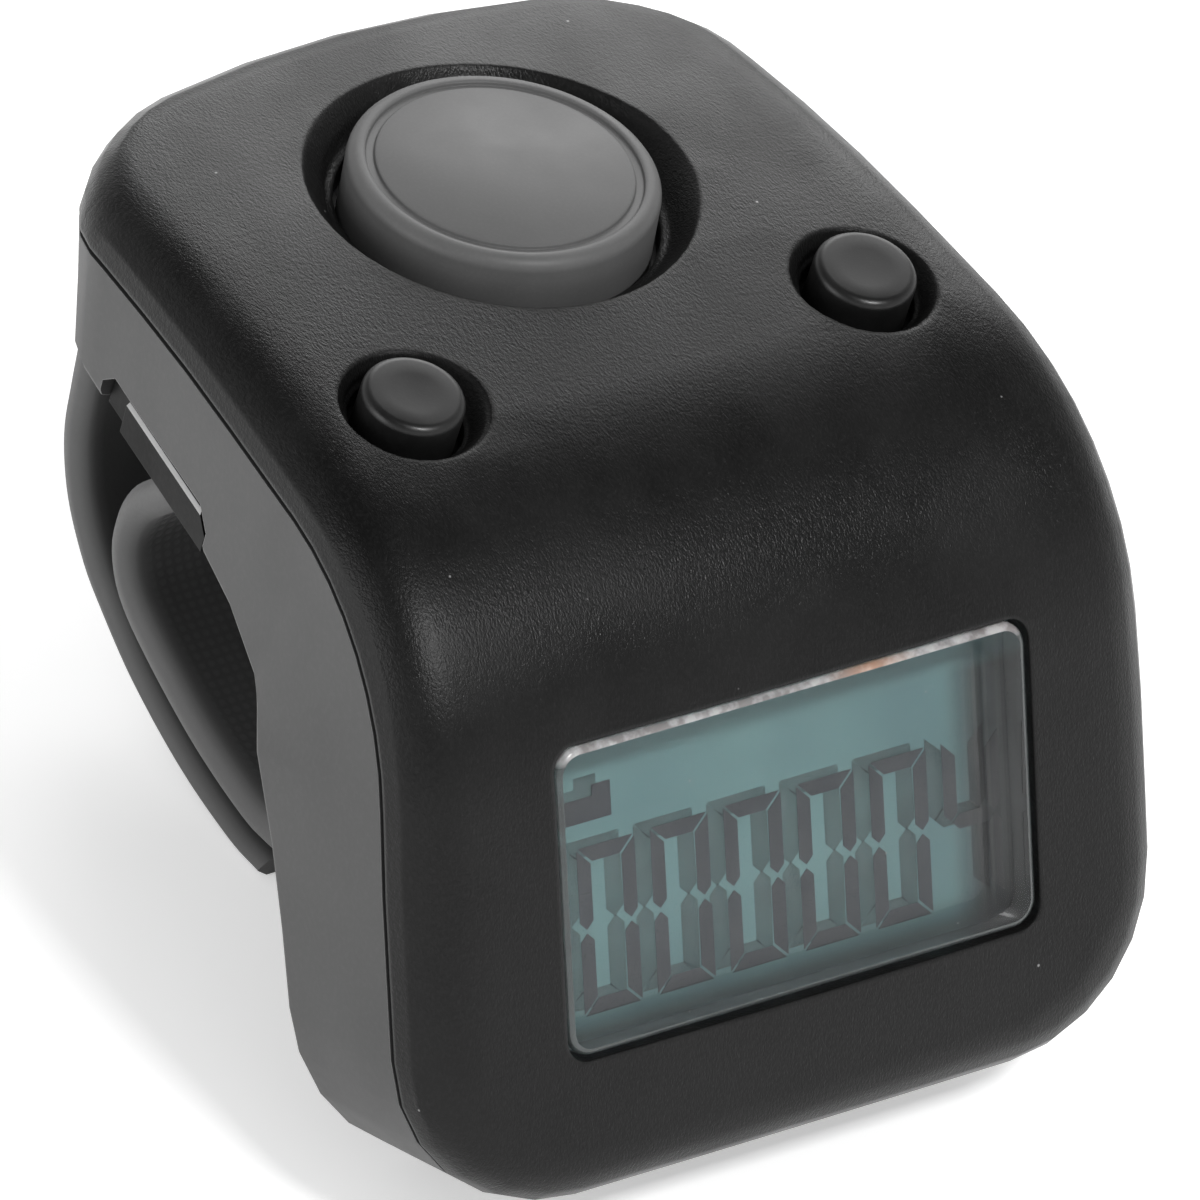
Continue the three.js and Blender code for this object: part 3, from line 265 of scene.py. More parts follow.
bezelWhite = mouldedPlastic("bezel_white", {
    "dark": grey(0.55, 0.01), "light": grey(0.62, 0.01), "worn": grey(0.7), "speckle": 0.1, "wearAndHighlight": 0.3,
    "rough": 0.5, "shine": 0.45, "patch": 0.002, "grain": 0.0001, "grainDepth": 0.000001, "edge": 0.00005,
})
guideWhite = mouldedPlastic("guide_white", {
    "dark": grey(0.62, 0.01), "light": grey(0.7, 0.01), "worn": grey(0.75), "speckle": 0.1, "wearAndHighlight": 0.3,
    "rough": 0.35, "shine": 0.5, "patch": 0.002, "grain": 0.0001, "grainDepth": 0.000001, "edge": 0.00005,
})
contactRubber = mouldedPlastic("contact_rubber", {
    "dark": (0.42, 0.2, 0.17, 1), "light": (0.5, 0.26, 0.22, 1), "worn": grey(0.1),
    "speckle": 0.3, "wearAndHighlight": 0.1,
    "rough": 0.7, "shine": 0.3, "patch": 0.0004, "grain": 0.00008, "grainDepth": 0.000002, "edge": 0.00004,
})
chipBlack = mouldedPlastic("chip_black", {
    "dark": grey(0.006), "light": grey(0.01), "worn": grey(0.03), "speckle": 0.1, "wearAndHighlight": 0.1,
    "rough": 0.22, "shine": 0.5, "patch": 0.002, "grain": 0.0003, "grainDepth": 0.000002, "edge": 0.00005,
})
boardGreen = mouldedPlastic("board_green", {
    "dark": (0.008, 0.07, 0.03, 1), "light": (0.012, 0.1, 0.045, 1), "worn": (0.25, 0.2, 0.1, 1),
    "speckle": 0.15, "wearAndHighlight": 0.2, "rough": 0.35, "shine": 0.5, "patch": 0.0012, "grain": 0.0002,
    "grainDepth": 0.000002, "edge": 0.00005,
})
ledAmber = mouldedPlastic("led_amber", {
    "dark": (0.7, 0.22, 0.04, 1), "light": (0.8, 0.3, 0.06, 1), "worn": (0.9, 0.5, 0.2, 1),
    "speckle": 0.1, "wearAndHighlight": 0.2, "rough": 0.2, "shine": 0.5, "patch": 0.0005, "grain": 0.0001,
    "grainDepth": 0.000001, "edge": 0.00005,
})
ribbonFilm = mouldedPlastic("ribbon_film", {
    "dark": (0.32, 0.12, 0.02, 1), "light": (0.42, 0.17, 0.03, 1), "worn": (0.6, 0.35, 0.12, 1),
    "speckle": 0.15, "wearAndHighlight": 0.2, "rough": 0.3, "shine": 0.5, "patch": 0.0006, "grain": 0.00012,
    "grainDepth": 0.000001, "edge": 0.00004,
})


# bright metal with fine scratches drawn along one direction
brushing = {
    "drawn": (1.0, 0.08, 1.0), "edge": 0.00006, "depth": 0.0000008, "smoother": 0.06, "rougher": 0.08,
}


def brushedMetal(name, look):
    material, tree, surface = newMaterial(name)
    place = objectPlace(tree)
    scratches = lumps(tree, place, look["scratch"], 3, 0.3, 0.7, brushing["drawn"])
    stains = lumps(tree, place, look["stain"], 3, 0.35, 0.7)["Mask"]
    edge = placed(tree, edgeWearAndHighlight, {"Radius": brushing["edge"], "Amount": 0.0})
    feed(tree, surface.inputs["Base Color"], blended(tree, stains, look["light"], look["dark"]))
    feed(tree, surface.inputs["Roughness"],
         ranged(tree, scratches["Mask"], 0, 1, look["rough"] - brushing["smoother"],
                look["rough"] + brushing["rougher"]))
    feed(tree, surface.inputs["Normal"], bump(tree, scratches["Height"], brushing["depth"], edge["Normal"]))
    surface.inputs["Metallic"].default_value = 1.0
    return material


screwSteel = brushedMetal("screw_steel", {
    "light": grey(0.5), "dark": grey(0.3, 0.03), "rough": 0.3, "scratch": 0.0001, "stain": 0.0006})
contactSteel = brushedMetal("contact_steel", {
    "light": grey(0.62, 0.02), "dark": grey(0.45, 0.03), "rough": 0.28, "scratch": 0.0001, "stain": 0.001})
cellSteel = brushedMetal("cell_steel", {
    "light": grey(0.66), "dark": grey(0.5, 0.02), "rough": 0.25, "scratch": 0.00012, "stain": 0.002})


# clear acrylic that lets daylight through to the display, with a few dust specks. The specks mix two
# shaders, so they are plain nodes here.
def clearPlastic(name, look):
    material, tree, surface = newMaterial(name)
    place = objectPlace(tree)
    smears = lumps(tree, place, look["smear"], 3, 0.4, 0.7)
    feed(tree, surface.inputs["Roughness"],
         ranged(tree, smears["Mask"], 0, 1, look["rough"], look["rough"] + look["smearRough"]))
    feed(tree, surface.inputs["Normal"], bump(tree, smears["Height"], look["smearDepth"]))
    surface.inputs["Transmission Weight"].default_value = 1.0
    surface.inputs["IOR"].default_value = look["bend"]
    surface.inputs["Base Color"].default_value = look["colour"]
    specks = addNode(tree, "ShaderNodeTexVoronoi", {"Vector": place, "Scale": 1 / look["speckSpacing"]},
                     feature="F1")
    dust = ranged(tree, specks.outputs["Distance"], 0.0, look["speckSize"], 1.0, 0.0)
    speck = addNode(tree, "ShaderNodeBsdfDiffuse", {"Color": look["speckTone"]})
    dusty = addNode(tree, "ShaderNodeMixShader", {0: dust, 1: surface.outputs[0], 2: speck.outputs[0]})
    light = tree.nodes.new("ShaderNodeLightPath")
    through = addNode(tree, "ShaderNodeBsdfTransparent", {"Color": look["shadowTone"]})
    mixed = addNode(tree, "ShaderNodeMixShader", {
        0: light.outputs["Is Shadow Ray"], 1: dusty.outputs[0], 2: through.outputs[0]})
    tree.links.new(mixed.outputs[0], tree.nodes["Material Output"].inputs["Surface"])
    return material


lensClear = clearPlastic("lens_clear", {
    "colour": (0.97, 0.985, 0.985, 1), "rough": 0.0, "smear": 0.003, "smearRough": 0.03,
    "smearDepth": 0.0000004, "speckSpacing": 0.0021, "speckSize": 0.022, "speckTone": grey(0.5),
    "shadowTone": grey(0.92), "bend": 1.25,
})


# rim of the lens, a little frosted: a painted highlight makes it light above its upper edge and dark below,
# and a painted orange glow lies where the lamp sits behind it
def lensRim(name, look):
    material, tree, surface = newMaterial(name)
    place = tree.nodes.new("ShaderNodeTexCoord").outputs
    spots = addNode(tree, "ShaderNodeSeparateXYZ", {0: place["UV"]}).outputs
    clouds = lumps(tree, place["Object"], look["cloud"], 3, 0.4, 0.6)
    highlightAbove = ranged(tree, spots["Y"], look["upper"], look["upper"] + look["upperBlend"], 0, 1)
    fromLamp = maths(tree, "ABSOLUTE", maths(tree, "SUBTRACT", spots["X"], look["lampPlace"]))
    lit = ranged(tree, fromLamp, 0, look["lampReach"], look["paintedLampGlow"], 0)
    mottled = blended(tree, clouds["Mask"], look["dull"], look["light"])
    tone = blended(tree, highlightAbove, look["dark"], mottled)
    # painted orange glow laid over the painted highlight
    feed(tree, surface.inputs["Base Color"],
         blended(tree, maths(tree, "MULTIPLY", lit, highlightAbove), tone, look["paintedGlowTone"]))
    feed(tree, surface.inputs["Roughness"],
         ranged(tree, clouds["Height"], 0.35, 0.65, look["smooth"], look["rough"]))
    surface.inputs["Transmission Weight"].default_value = look["clear"]
    surface.inputs["IOR"].default_value = look["bend"]
    return material


lensEdge = lensRim("lens_rim", {
    "dark": (0.1, 0.11, 0.11, 1), "light": (0.7, 0.68, 0.68, 1), "dull": (0.36, 0.33, 0.33, 1),
    "paintedGlowTone": (0.9, 0.4, 0.18, 1), "lampPlace": 3.0, "lampReach": 1.8, "paintedLampGlow": 0.5,
    "cloud": 0.0006, "smooth": 0.08, "rough": 0.2, "clear": 0.45, "upper": 4.5, "upperBlend": 0.25,
    "bend": 1.49,
})


# painted shade on the display where the window's right wall and sill cover it, streaked where the wall is, a
# slight darkening towards the right, and a painted lighter strip at the top against the shadow under the
# window's upper rim.
# The pattern coordinates are millimetres across and up from the window's middle.
filmShade = {
    "deep": (0.012, 0.013, 0.014, 1), "streak": (0.06, 0.06, 0.06, 1), "upper": (0.12, 0.2, 0.205, 1),
    "left": -8, "right": 7, "fade": 0.15, "wall": 6.5, "wallBlend": 1.2, "wallCover": 0.95,
    "streakScale": 3.2, "streakFrom": 0.42, "streakTo": 0.6, "streakCover": 0.5,
    "sill": -4.9, "sillBlend": 1.0, "sillCover": 0.85, "upperFrom": 3.2, "upperTo": 4.4,
}


def windowShadeGroup(shade):
    group, given, made = newGroup("window_shade", {"Color": "Color", "Place": "Vector", "Lift": "Float"},
                                  {"Color": "Color"})
    spots = addNode(group, "ShaderNodeSeparateXYZ", {0: given["Place"]}).outputs
    # slightly darker towards the right
    fade = ranged(group, spots["X"], shade["left"], shade["right"], 0, shade["fade"])
    dimmed = blended(group, fade, given["Color"], shade["deep"])
    streaks = addNode(group, "ShaderNodeTexNoise", {
        "W": spots["X"], "Scale": shade["streakScale"], "Detail": 3.0}, noise_dimensions="1D")
    streaked = blended(group, ranged(group, streaks.outputs["Fac"], shade["streakFrom"], shade["streakTo"],
                                     0, shade["streakCover"]), shade["deep"], shade["streak"])
    wall = ranged(group, spots["X"], shade["wall"], shade["wall"] + shade["wallBlend"],
                  0, shade["wallCover"])
    walled = blended(group, wall, dimmed, streaked)
    sill = ranged(group, spots["Y"], shade["sill"], shade["sill"] + shade["sillBlend"],
                  shade["sillCover"], 0)
    silled = blended(group, sill, walled, shade["deep"])
    # painted light: the upper strip is lifted towards a lighter tone
    lift = ranged(group, spots["Y"], shade["upperFrom"], shade["upperTo"], 0, given["Lift"])
    feed(group, made["Color"], blended(group, lift, silled, shade["upper"]))
    return group


windowShade = windowShadeGroup(filmShade)


# display film and the ink on it, with a faint print grain
filmSkin = {"grainCover": 0.12, "smooth": 0.35, "rough": 0.5, "shine": 0.2}


def displayFilm(name, look):
    material, tree, surface = newMaterial(name)
    place = tree.nodes.new("ShaderNodeTexCoord").outputs
    clouds = lumps(tree, place["Object"], look["cloud"], 2)["Mask"]
    grain = lumps(tree, place["Object"], look["grain"], 1, 0.4, 0.7)
    tone = blended(tree, clouds, look["dark"], look["light"])
    covered = ranged(tree, grain["Mask"], 0, 1, 0, filmSkin["grainCover"])
    grained = blended(tree, covered, tone, look["light"])
    # the window group paints shade and a lighter upper strip onto the film
    shaded = placed(tree, windowShade, {"Color": grained, "Place": place["UV"], "Lift": look["lift"]})
    feed(tree, surface.inputs["Base Color"], shaded["Color"])
    feed(tree, surface.inputs["Roughness"],
         ranged(tree, grain["Height"], 0.3, 0.7, filmSkin["smooth"], filmSkin["rough"]))
    surface.inputs["Specular IOR Level"].default_value = filmSkin["shine"]
    return material


lcdTeal = displayFilm("lcd_glass", {
    "dark": (0.072, 0.131, 0.136, 1), "light": (0.093, 0.165, 0.166, 1), "cloud": 0.007,
    "grain": 0.00008, "lift": 0.8,
})
lcdInk = displayFilm("lcd_ink", {
    "dark": (0.025, 0.028, 0.033, 1), "light": (0.032, 0.035, 0.039, 1), "cloud": 0.001,
    "grain": 0.00006, "lift": 0.0,
})


# soft shade that the figures throw on the film behind them: clear, and only a little darker
def shadeFilm(name, look):
    material, tree, surface = newMaterial(name)
    clouds = lumps(tree, objectPlace(tree), look["cloud"], 2)["Height"]
    core = addNode(tree, "ShaderNodeAttribute", attribute_name="core").outputs["Fac"]
    cover = ranged(tree, clouds, 0.3, 0.7, look["cover"] - look["spread"], look["cover"] + look["spread"])
    feed(tree, surface.inputs["Alpha"], maths(tree, "MULTIPLY", cover, core))
    surface.inputs["Base Color"].default_value = look["colour"]
    surface.inputs["Roughness"].default_value = look["rough"]
    return material


lcdShade = shadeFilm("lcd_shade", {
    "colour": (0.02, 0.018, 0.02, 1), "rough": 0.5, "cloud": 0.0012, "cover": 0.35, "spread": 0.05,
})


# soft rubber: matt with a fine skin, the inner face dotted, and a painted highlight that makes the rounded
# rims lighter
strapFinish = {
    "dark": grey(0.026), "light": grey(0.032), "rim": grey(0.13), "rough": 0.58, "roughSpread": 0.06,
    "dotSpacing": 0.00036, "dotSize": 0.33, "dotBlur": 0.12, "dotCover": 0.12, "dotDepth": 0.00001,
    "skin": 0.00014, "skinDepth": 0.000003, "cloud": 0.003, "rimHighlightCover": 0.8,
    "sheen": 0.25, "sheenRough": 0.5, "shine": 0.35,
}


def softRubber(name, look):
    material, tree, surface = newMaterial(name)
    place = tree.nodes.new("ShaderNodeTexCoord").outputs
    skin = lumps(tree, place["Object"], look["skin"], 2)["Height"]
    clouds = lumps(tree, place["Object"], look["cloud"], 3)["Mask"]
    dots = addNode(tree, "ShaderNodeTexVoronoi", {
        "Vector": place["UV"], "Scale": mm / look["dotSpacing"], "Randomness": 0.0},
        voronoi_dimensions="2D")
    dot = ranged(tree, dots.outputs["Distance"], look["dotSize"] - look["dotBlur"],
                 look["dotSize"] + look["dotBlur"], 1.0, 0.0)
    inner = addNode(tree, "ShaderNodeAttribute", attribute_name="innerFace").outputs["Fac"]
    rim = addNode(tree, "ShaderNodeAttribute", attribute_name="rim").outputs["Fac"]
    shown = maths(tree, "MULTIPLY", dot, inner)
    tone = blended(tree, clouds, look["dark"], look["light"])
    dotted = blended(tree, ranged(tree, shown, 0, 1, 0, look["dotCover"]), tone, look["rim"])
    # the rims get a painted highlight in the rim colour, which the dots also use
    rimmed = blended(tree, ranged(tree, rim, 0, 1, 0, look["rimHighlightCover"]), dotted, look["rim"])
    feed(tree, surface.inputs["Base Color"], rimmed)
    feed(tree, surface.inputs["Roughness"],
         ranged(tree, skin, 0.3, 0.7, look["rough"] - look["roughSpread"],
                look["rough"] + look["roughSpread"]))
    raised = bump(tree, shown, look["dotDepth"])
    feed(tree, surface.inputs["Normal"], bump(tree, skin, look["skinDepth"], raised))
    surface.inputs["Sheen Weight"].default_value = look["sheen"]
    surface.inputs["Sheen Roughness"].default_value = look["sheenRough"]
    surface.inputs["Specular IOR Level"].default_value = look["shine"]
    return material


strapRubber = softRubber("strap_silicone", strapFinish)
print("materials made")


# mesh helpers
def addPiece(name, bm, material, body, stands=(), sharp=35):
    for face in bm.faces:
        face.smooth = True
    for edge in bm.edges:
        edge.smooth = edge.calc_face_angle(0.0) < math.radians(sharp)
    mesh = bpy.data.meshes.new(name)
    bm.to_mesh(mesh)
    bm.free()
    mesh.materials.append(material)
    piece = bpy.data.objects.new(name, mesh)
    bpy.context.scene.collection.objects.link(piece)
    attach(piece, body)
    if stands:
        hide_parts(*stands)
    return piece


def evenShading(piece):
    weighted = piece.modifiers.new("evenShading", "WEIGHTED_NORMAL")
    weighted.keep_sharp = True
    weighted.weight = 90


# a merged copy of a moulded CAD body, shaded as one smooth surface between its real edges
smoothing = {"merge": 0.015, "sliver": 0.008, "sharp": 24}


def smoothBody(node, name, material, extra=()):
    bm = bmesh.new()
    bm.from_mesh(nodes[node].data)
    bmesh.ops.remove_doubles(bm, verts=bm.verts, dist=smoothing["merge"] * mm)
    bmesh.ops.dissolve_degenerate(bm, edges=bm.edges, dist=smoothing["sliver"] * mm)
    for added in extra:
        bm.from_mesh(added)
        bpy.data.meshes.remove(added)
    piece = addPiece(name, bm, material, "housing", [node], smoothing["sharp"])
    evenShading(piece)
    return piece


smoothBody("top_shell", "shell_cover", shellBlack)
smoothBody("middle_frame", "side_frame", frameSatin)


# lifting tab of the finger-side cover, in the opening of the left wall: places are across the wall,
# along the underside from the count axis, and up from the underside
# the tab carries painted shade, and the chamfer on the front block's top edge a painted highlight
liftTab = {
    "wall": -12.59, "taper": 0.0845, "reach": 1.85, "underside": -7.386, "slope": 6, "chamfer": 0.11,
    "blocks": [
        {"front": -4.55, "rear": 1.0, "low": -0.18, "height": 1.02, "recess": 0.1, "corner": 0.6,
         "bright": True},
        {"front": 0.9, "rear": 2.25, "low": -0.12, "height": 1.26, "recess": 0.35, "corner": 0,
         "bright": False},
    ],
}


def tabBlock(tab, block):
    bm = bmesh.new()
    bmesh.ops.create_cube(bm, size=1)
    for vert in bm.verts:
        along = block["front"] if vert.co.y < 0 else block["rear"]
        across = tab["wall"] + tab["taper"] * along + (block["recess"] if vert.co.x < 0 else tab["reach"])
        vert.co = (across * mm, along * mm, (block["height"] if vert.co.z > 0 else block["low"]) * mm)
    top = block["height"] * mm
    if block["corner"]:
        nearFront = (block["front"] + 0.1) * mm
        frontTop = [edge for edge in bm.edges
                    if all(vert.co.z > top * 0.9 and vert.co.y < nearFront for vert in edge.verts)]
        bmesh.ops.bevel(bm, geom=frontTop, offset=block["corner"] * mm, offset_type="OFFSET",
                        affect="EDGES", segments=1, profile=0.5, material=-1)
    outer = [edge for edge in bm.edges
             if all(vert.co.z > top * 0.9 and vert.co.x < (tab["wall"] + 1) * mm for vert in edge.verts)]
    faces = bmesh.ops.bevel(bm, geom=outer, offset=tab["chamfer"] * mm, offset_type="OFFSET",
                            affect="EDGES", segments=1, profile=0.5, material=-1)["faces"]
    # the front block's chamfer gets the painted highlight, all other tab faces the painted shade
    for face in faces:
        face.material_index = 2 if block["bright"] else 1
    for face in bm.faces:
        face.material_index = max(face.material_index, 1)
    place = Matrix.Translation(home + Vector((0, 0, tab["underside"] * mm)))
    sloped = Matrix.Rotation(math.radians(tab["slope"]), 4, "X")
    bmesh.ops.transform(bm, matrix=place @ sloped, verts=bm.verts)
    mesh = bpy.data.meshes.new("tabBlock")
    bm.to_mesh(mesh)
    bm.free()
    return mesh


fingerCover = smoothBody("saddle_cover", "finger_cover", coverBlack,
                         [tabBlock(liftTab, block) for block in liftTab["blocks"]])
fingerCover.data.materials.append(tabPaintedShade)
fingerCover.data.materials.append(tabPaintedHighlight)
print("housing bodies smoothed")


# buttons, turned from their profiles about their own axes
def turnedBody(profile, steps, place):
    bm = bmesh.new()
    corners = [bm.verts.new((radius * mm, 0, height * mm)) for radius, height in profile]
    edges = [bm.edges.new(pair) for pair in zip(corners, corners[1:])]
    bmesh.ops.spin(bm, geom=corners + edges, cent=(0, 0, 0), axis=(0, 0, 1), dvec=(0, 0, 0),
                   angle=2 * math.pi, steps=steps, use_merge=True)
    bmesh.ops.remove_doubles(bm, verts=bm.verts, dist=0.001 * mm)
    bmesh.ops.dissolve_degenerate(bm, edges=bm.edges, dist=0.001 * mm)
    bmesh.ops.recalc_face_normals(bm, faces=bm.faces)
    bmesh.ops.transform(bm, matrix=place, verts=bm.verts)
    return bm


countKey = {
    "radius": 4.95, "proud": 0.52, "edge": 0.42, "flange": 5.8, "flangeTop": -2.3, "flangeBottom": -2.7,
    "hollow": 4.05, "hollowTop": -0.73, "post": 1.2, "postBottom": -1.85,
    "ring": 4.23, "ringWidth": 0.34, "ringDepth": 0.13, "ringLip": 0.03, "ringTurn": 0.02,
    "ringWall": 0.05, "steps": 128,
}
countPlace = Matrix.Translation(home - Vector((0, 0, countKey["proud"] * mm)))
ringIn = countKey["ring"] - countKey["ringWidth"] / 2
ringOut = countKey["ring"] + countKey["ringWidth"] / 2
countProfile = [
    (0, countKey["postBottom"]), (countKey["post"], countKey["postBottom"]),
    (countKey["post"], countKey["hollowTop"]), (countKey["hollow"], countKey["hollowTop"]),
    (countKey["hollow"], countKey["flangeBottom"]), (countKey["flange"], countKey["flangeBottom"]),
    (countKey["flange"], countKey["flangeTop"]), (countKey["radius"], countKey["flangeTop"]),
]
for step in range(7):
    turn = math.radians(15 * step)
    countProfile.append((countKey["radius"] - countKey["edge"] * (1 - math.cos(turn)),
                         countKey["proud"] - countKey["edge"] * (1 - math.sin(turn))))
countProfile += [
    (ringOut + countKey["ringLip"], countKey["proud"]),
    (ringOut - countKey["ringTurn"], countKey["proud"] - countKey["ringLip"]),
    (ringOut - countKey["ringWall"], countKey["proud"] - countKey["ringDepth"]),
    (ringIn + countKey["ringWall"], countKey["proud"] - countKey["ringDepth"]),
    (ringIn + countKey["ringTurn"], countKey["proud"] - countKey["ringLip"]),
    (ringIn - countKey["ringLip"], countKey["proud"]),
    (0, countKey["proud"]),
]
addPiece("count_cap", turnedBody(countProfile, countKey["steps"], countPlace), countGrey,
         "count_key", ["count_button"], 40)

sideKey = {
    "radius": 1.65, "proud": 0.45, "edge": 0.3, "flange": 2.35, "flangeTop": -1.55, "flangeBottom": -1.8,
    "tilt": 9, "dishEdge": 0.02, "dish": 0.03, "steps": 72,
}
sideProfile = [(0, sideKey["flangeBottom"]), (sideKey["flange"], sideKey["flangeBottom"]),
               (sideKey["flange"], sideKey["flangeTop"]), (sideKey["radius"], sideKey["flangeTop"])]
for step in range(6):
    turn = math.radians(18 * step)
    sideProfile.append((sideKey["radius"] - sideKey["edge"] * (1 - math.cos(turn)),
                        sideKey["proud"] - sideKey["edge"] * (1 - math.sin(turn))))
sideProfile += [(sideKey["radius"] * 0.5, sideKey["proud"] - sideKey["dishEdge"]),
                (0, sideKey["proud"] - sideKey["dish"])]
for body, node in (("left_key", "left_button"), ("right_key", "right_button")):
    # the flange's lowest and rearmost points give the place of the axis
    sideLow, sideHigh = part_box(node)
    lean = math.radians(sideKey["tilt"])
    reach, drop = sideKey["flange"] * mm, sideKey["flangeBottom"] * mm
    keySpot = Vector(((sideLow.x + sideHigh.x) / 2,
                      sideHigh.y - reach * math.cos(lean) + drop * math.sin(lean),
                      sideLow.z - drop * math.cos(lean) + reach * math.sin(lean)))
    keyPlace = Matrix.Translation(keySpot) @ Matrix.Rotation(lean, 4, "X")
    addPiece(node.replace("button", "cap"), turnedBody(sideProfile, sideKey["steps"], keyPlace), keyBlack,
             body, [node], 40)
print("buttons made")


# display: its plane, then the clear lens, the glass and the figures on it
display = {"centre": (0, -19.971, -11.944), "lean": 20.25}
lean = math.radians(display["lean"])
displayUp = Vector((0, math.sin(lean), math.cos(lean)))
displayOut = Vector((0, -math.cos(lean), math.sin(lean)))
displayPlace = Matrix.Translation(home + Vector(display["centre"]) * mm) @ Matrix((
    (1, 0, 0, 0), (0, displayUp.y, displayOut.y, 0), (0, displayUp.z, displayOut.z, 0), (0, 0, 0, 1)))


def plateBody(width, height, low, high, corner, x=0, y=0):
    bm = bmesh.new()
    bmesh.ops.create_cube(bm, size=1)
    bmesh.ops.scale(bm, vec=(width * mm, height * mm, (high - low) * mm), verts=bm.verts)
    bmesh.ops.translate(bm, vec=(x * mm, y * mm, (high + low) / 2 * mm), verts=bm.verts)
    upright = [edge for edge in bm.edges
               if abs(edge.verts[0].co.z - edge.verts[1].co.z) > 0.5 * (high - low) * mm]
    bmesh.ops.bevel(bm, geom=upright, offset=corner * mm, offset_type="OFFSET", affect="EDGES",
                    segments=8, profile=0.5, material=-1)
    return bm


def bevelRim(bm, height, offset, segments):
    rim = [edge for edge in bm.edges
           if all(abs(vert.co.z - height * mm) < 0.001 * mm for vert in edge.verts)]
    return bmesh.ops.bevel(bm, geom=rim, offset=offset * mm, offset_type="OFFSET", affect="EDGES",
                           segments=segments, profile=0.5, material=-1)["faces"]


def mapFlat(bm):
    layer = bm.loops.layers.uv.new("flatPlace")
    for face in bm.faces:
        for loop in face.loops:
            loop[layer].uv = loop.vert.co.xy / mm


lens = {"width": 17.6, "height": 10.1, "front": -0.2, "back": -2.0, "corner": 0.9, "rim": 0.24}
lensBody = plateBody(lens["width"], lens["height"], lens["back"], lens["front"], lens["corner"])
for face in bevelRim(lensBody, lens["front"], lens["rim"], 4):
    face.material_index = 1
mapFlat(lensBody)
bmesh.ops.transform(lensBody, matrix=displayPlace, verts=lensBody.verts)
windowLens = addPiece("window_lens", lensBody, lensClear, "housing", ["display_lens"], 40)
windowLens.data.materials.append(lensEdge)

glass = {"width": 20, "height": 11.4, "front": -2.05, "back": -3.05, "corner": 0.1}
glassBody = plateBody(glass["width"], glass["height"], glass["back"], glass["front"], glass["corner"])
bevelRim(glassBody, glass["front"], 0.05, 2)
mapFlat(glassBody)
bmesh.ops.transform(glassBody, matrix=displayPlace, verts=glassBody.verts)
addPiece("lcd_panel", glassBody, lcdTeal, "housing", ["lcd_cell"], 30)

figures = {
    "number": "000004", "firstLeft": -7.28, "pitch": 2.72, "width": 2.14, "height": 5.45, "centre": -1.57,
    "bar": 0.5, "gap": 0.062, "raise": 0.012, "thick": 0.01, "shadeX": -0.58, "shadeY": 0.26, "soft": 0.07,
    "shadeRaise": 0.003, "shadeThick": 0.004,
}
barsOf = {"0": "abcdef", "4": "bcfg"}
# the battery sign at the window's upper left corner, as a plain block
batterySign = [(-7.75, 1.96), (-5.92, 1.96), (-5.92, 3.11), (-6.6, 3.11), (-6.6, 2.75), (-7.75, 2.75)]


def barOutlines(left, shape):
    # the seven bars of one figure as corner lists, mitred where they meet
    w, h, t, g = shape["width"], shape["height"], shape["bar"], shape["gap"]
    low = shape["centre"] - h / 2
    mid = shape["centre"]
    right, high = left + w, low + h
    half = t / 2
    return {
        "a": [(left + g, high), (right - g, high), (right - t - g, high - t), (left + t + g, high - t)],
        "d": [(left + g, low), (left + t + g, low + t), (right - t - g, low + t), (right - g, low)],
        "f": [(left, high - g), (left + t, high - t - g), (left + t, mid + half + g),
              (left + half, mid + g), (left, mid + half + g)],
        "b": [(right, high - g), (right, mid + half + g), (right - half, mid + g),
              (right - t, mid + half + g), (right - t, high - t - g)],
        "e": [(left, low + g), (left, mid - half - g), (left + half, mid - g),
              (left + t, mid - half - g), (left + t, low + t + g)],
        "c": [(right, low + g), (right - t, low + t + g), (right - t, mid - half - g),
              (right - half, mid - g), (right, mid - half - g)],
        "g": [(left + half + g, mid), (left + t + g, mid + half), (right - t - g, mid + half),
              (right - half - g, mid), (right - t - g, mid - half), (left + t + g, mid - half)],
    }


def barList(offset):
    outlines = []
    for place, figure in enumerate(figures["number"]):
        bars = barOutlines(figures["firstLeft"] + place * figures["pitch"], figures)
        outlines += [bars[bar] for bar in barsOf[figure]]
    outlines.append(batterySign)
    return [[Vector((x + offset[0], y + offset[1])) for x, y in outline] for outline in outlines]


def grownOutline(outline, distance):
    # the outline moved outwards, each side square to itself
    area = sum(a.x * b.y - b.x * a.y for a, b in zip(outline, outline[1:] + outline[:1]))
    distance = math.copysign(distance, area)
    grown = []
    for before, here, after in zip(outline[-1:] + outline, outline, outline[1:] + outline[:1]):
        first = (here - before).normalized()
        second = (after - here).normalized()
        square = Vector((first.y + second.y, -first.x - second.x))
        grown.append(here + square * distance / max(0.8, 1 + first.dot(second)))
    return grown


# slabs with a lower and an upper outline; core is 1 on the upper one
def slabMesh(pairs, height, thick):
    bm = bmesh.new()
    core = bm.verts.layers.float.new("core")
    for lower, upper in pairs:
        rings = []
        for outline, lift, share in ((lower, 0, 0.0), (upper, thick, 1.0)):
            ring = [bm.verts.new((spot.x * mm, spot.y * mm, (height + lift) * mm)) for spot in outline]
            for vert in ring:
                vert[core] = share
            bm.faces.new(ring)
            rings.append(ring)
        low, high = rings
        for i in range(len(low)):
            j = (i + 1) % len(low)
            bm.faces.new((low[i], low[j], high[j], high[i]))
    mapFlat(bm)
    bmesh.ops.recalc_face_normals(bm, faces=bm.faces)
    bmesh.ops.transform(bm, matrix=displayPlace, verts=bm.verts)
    return bm


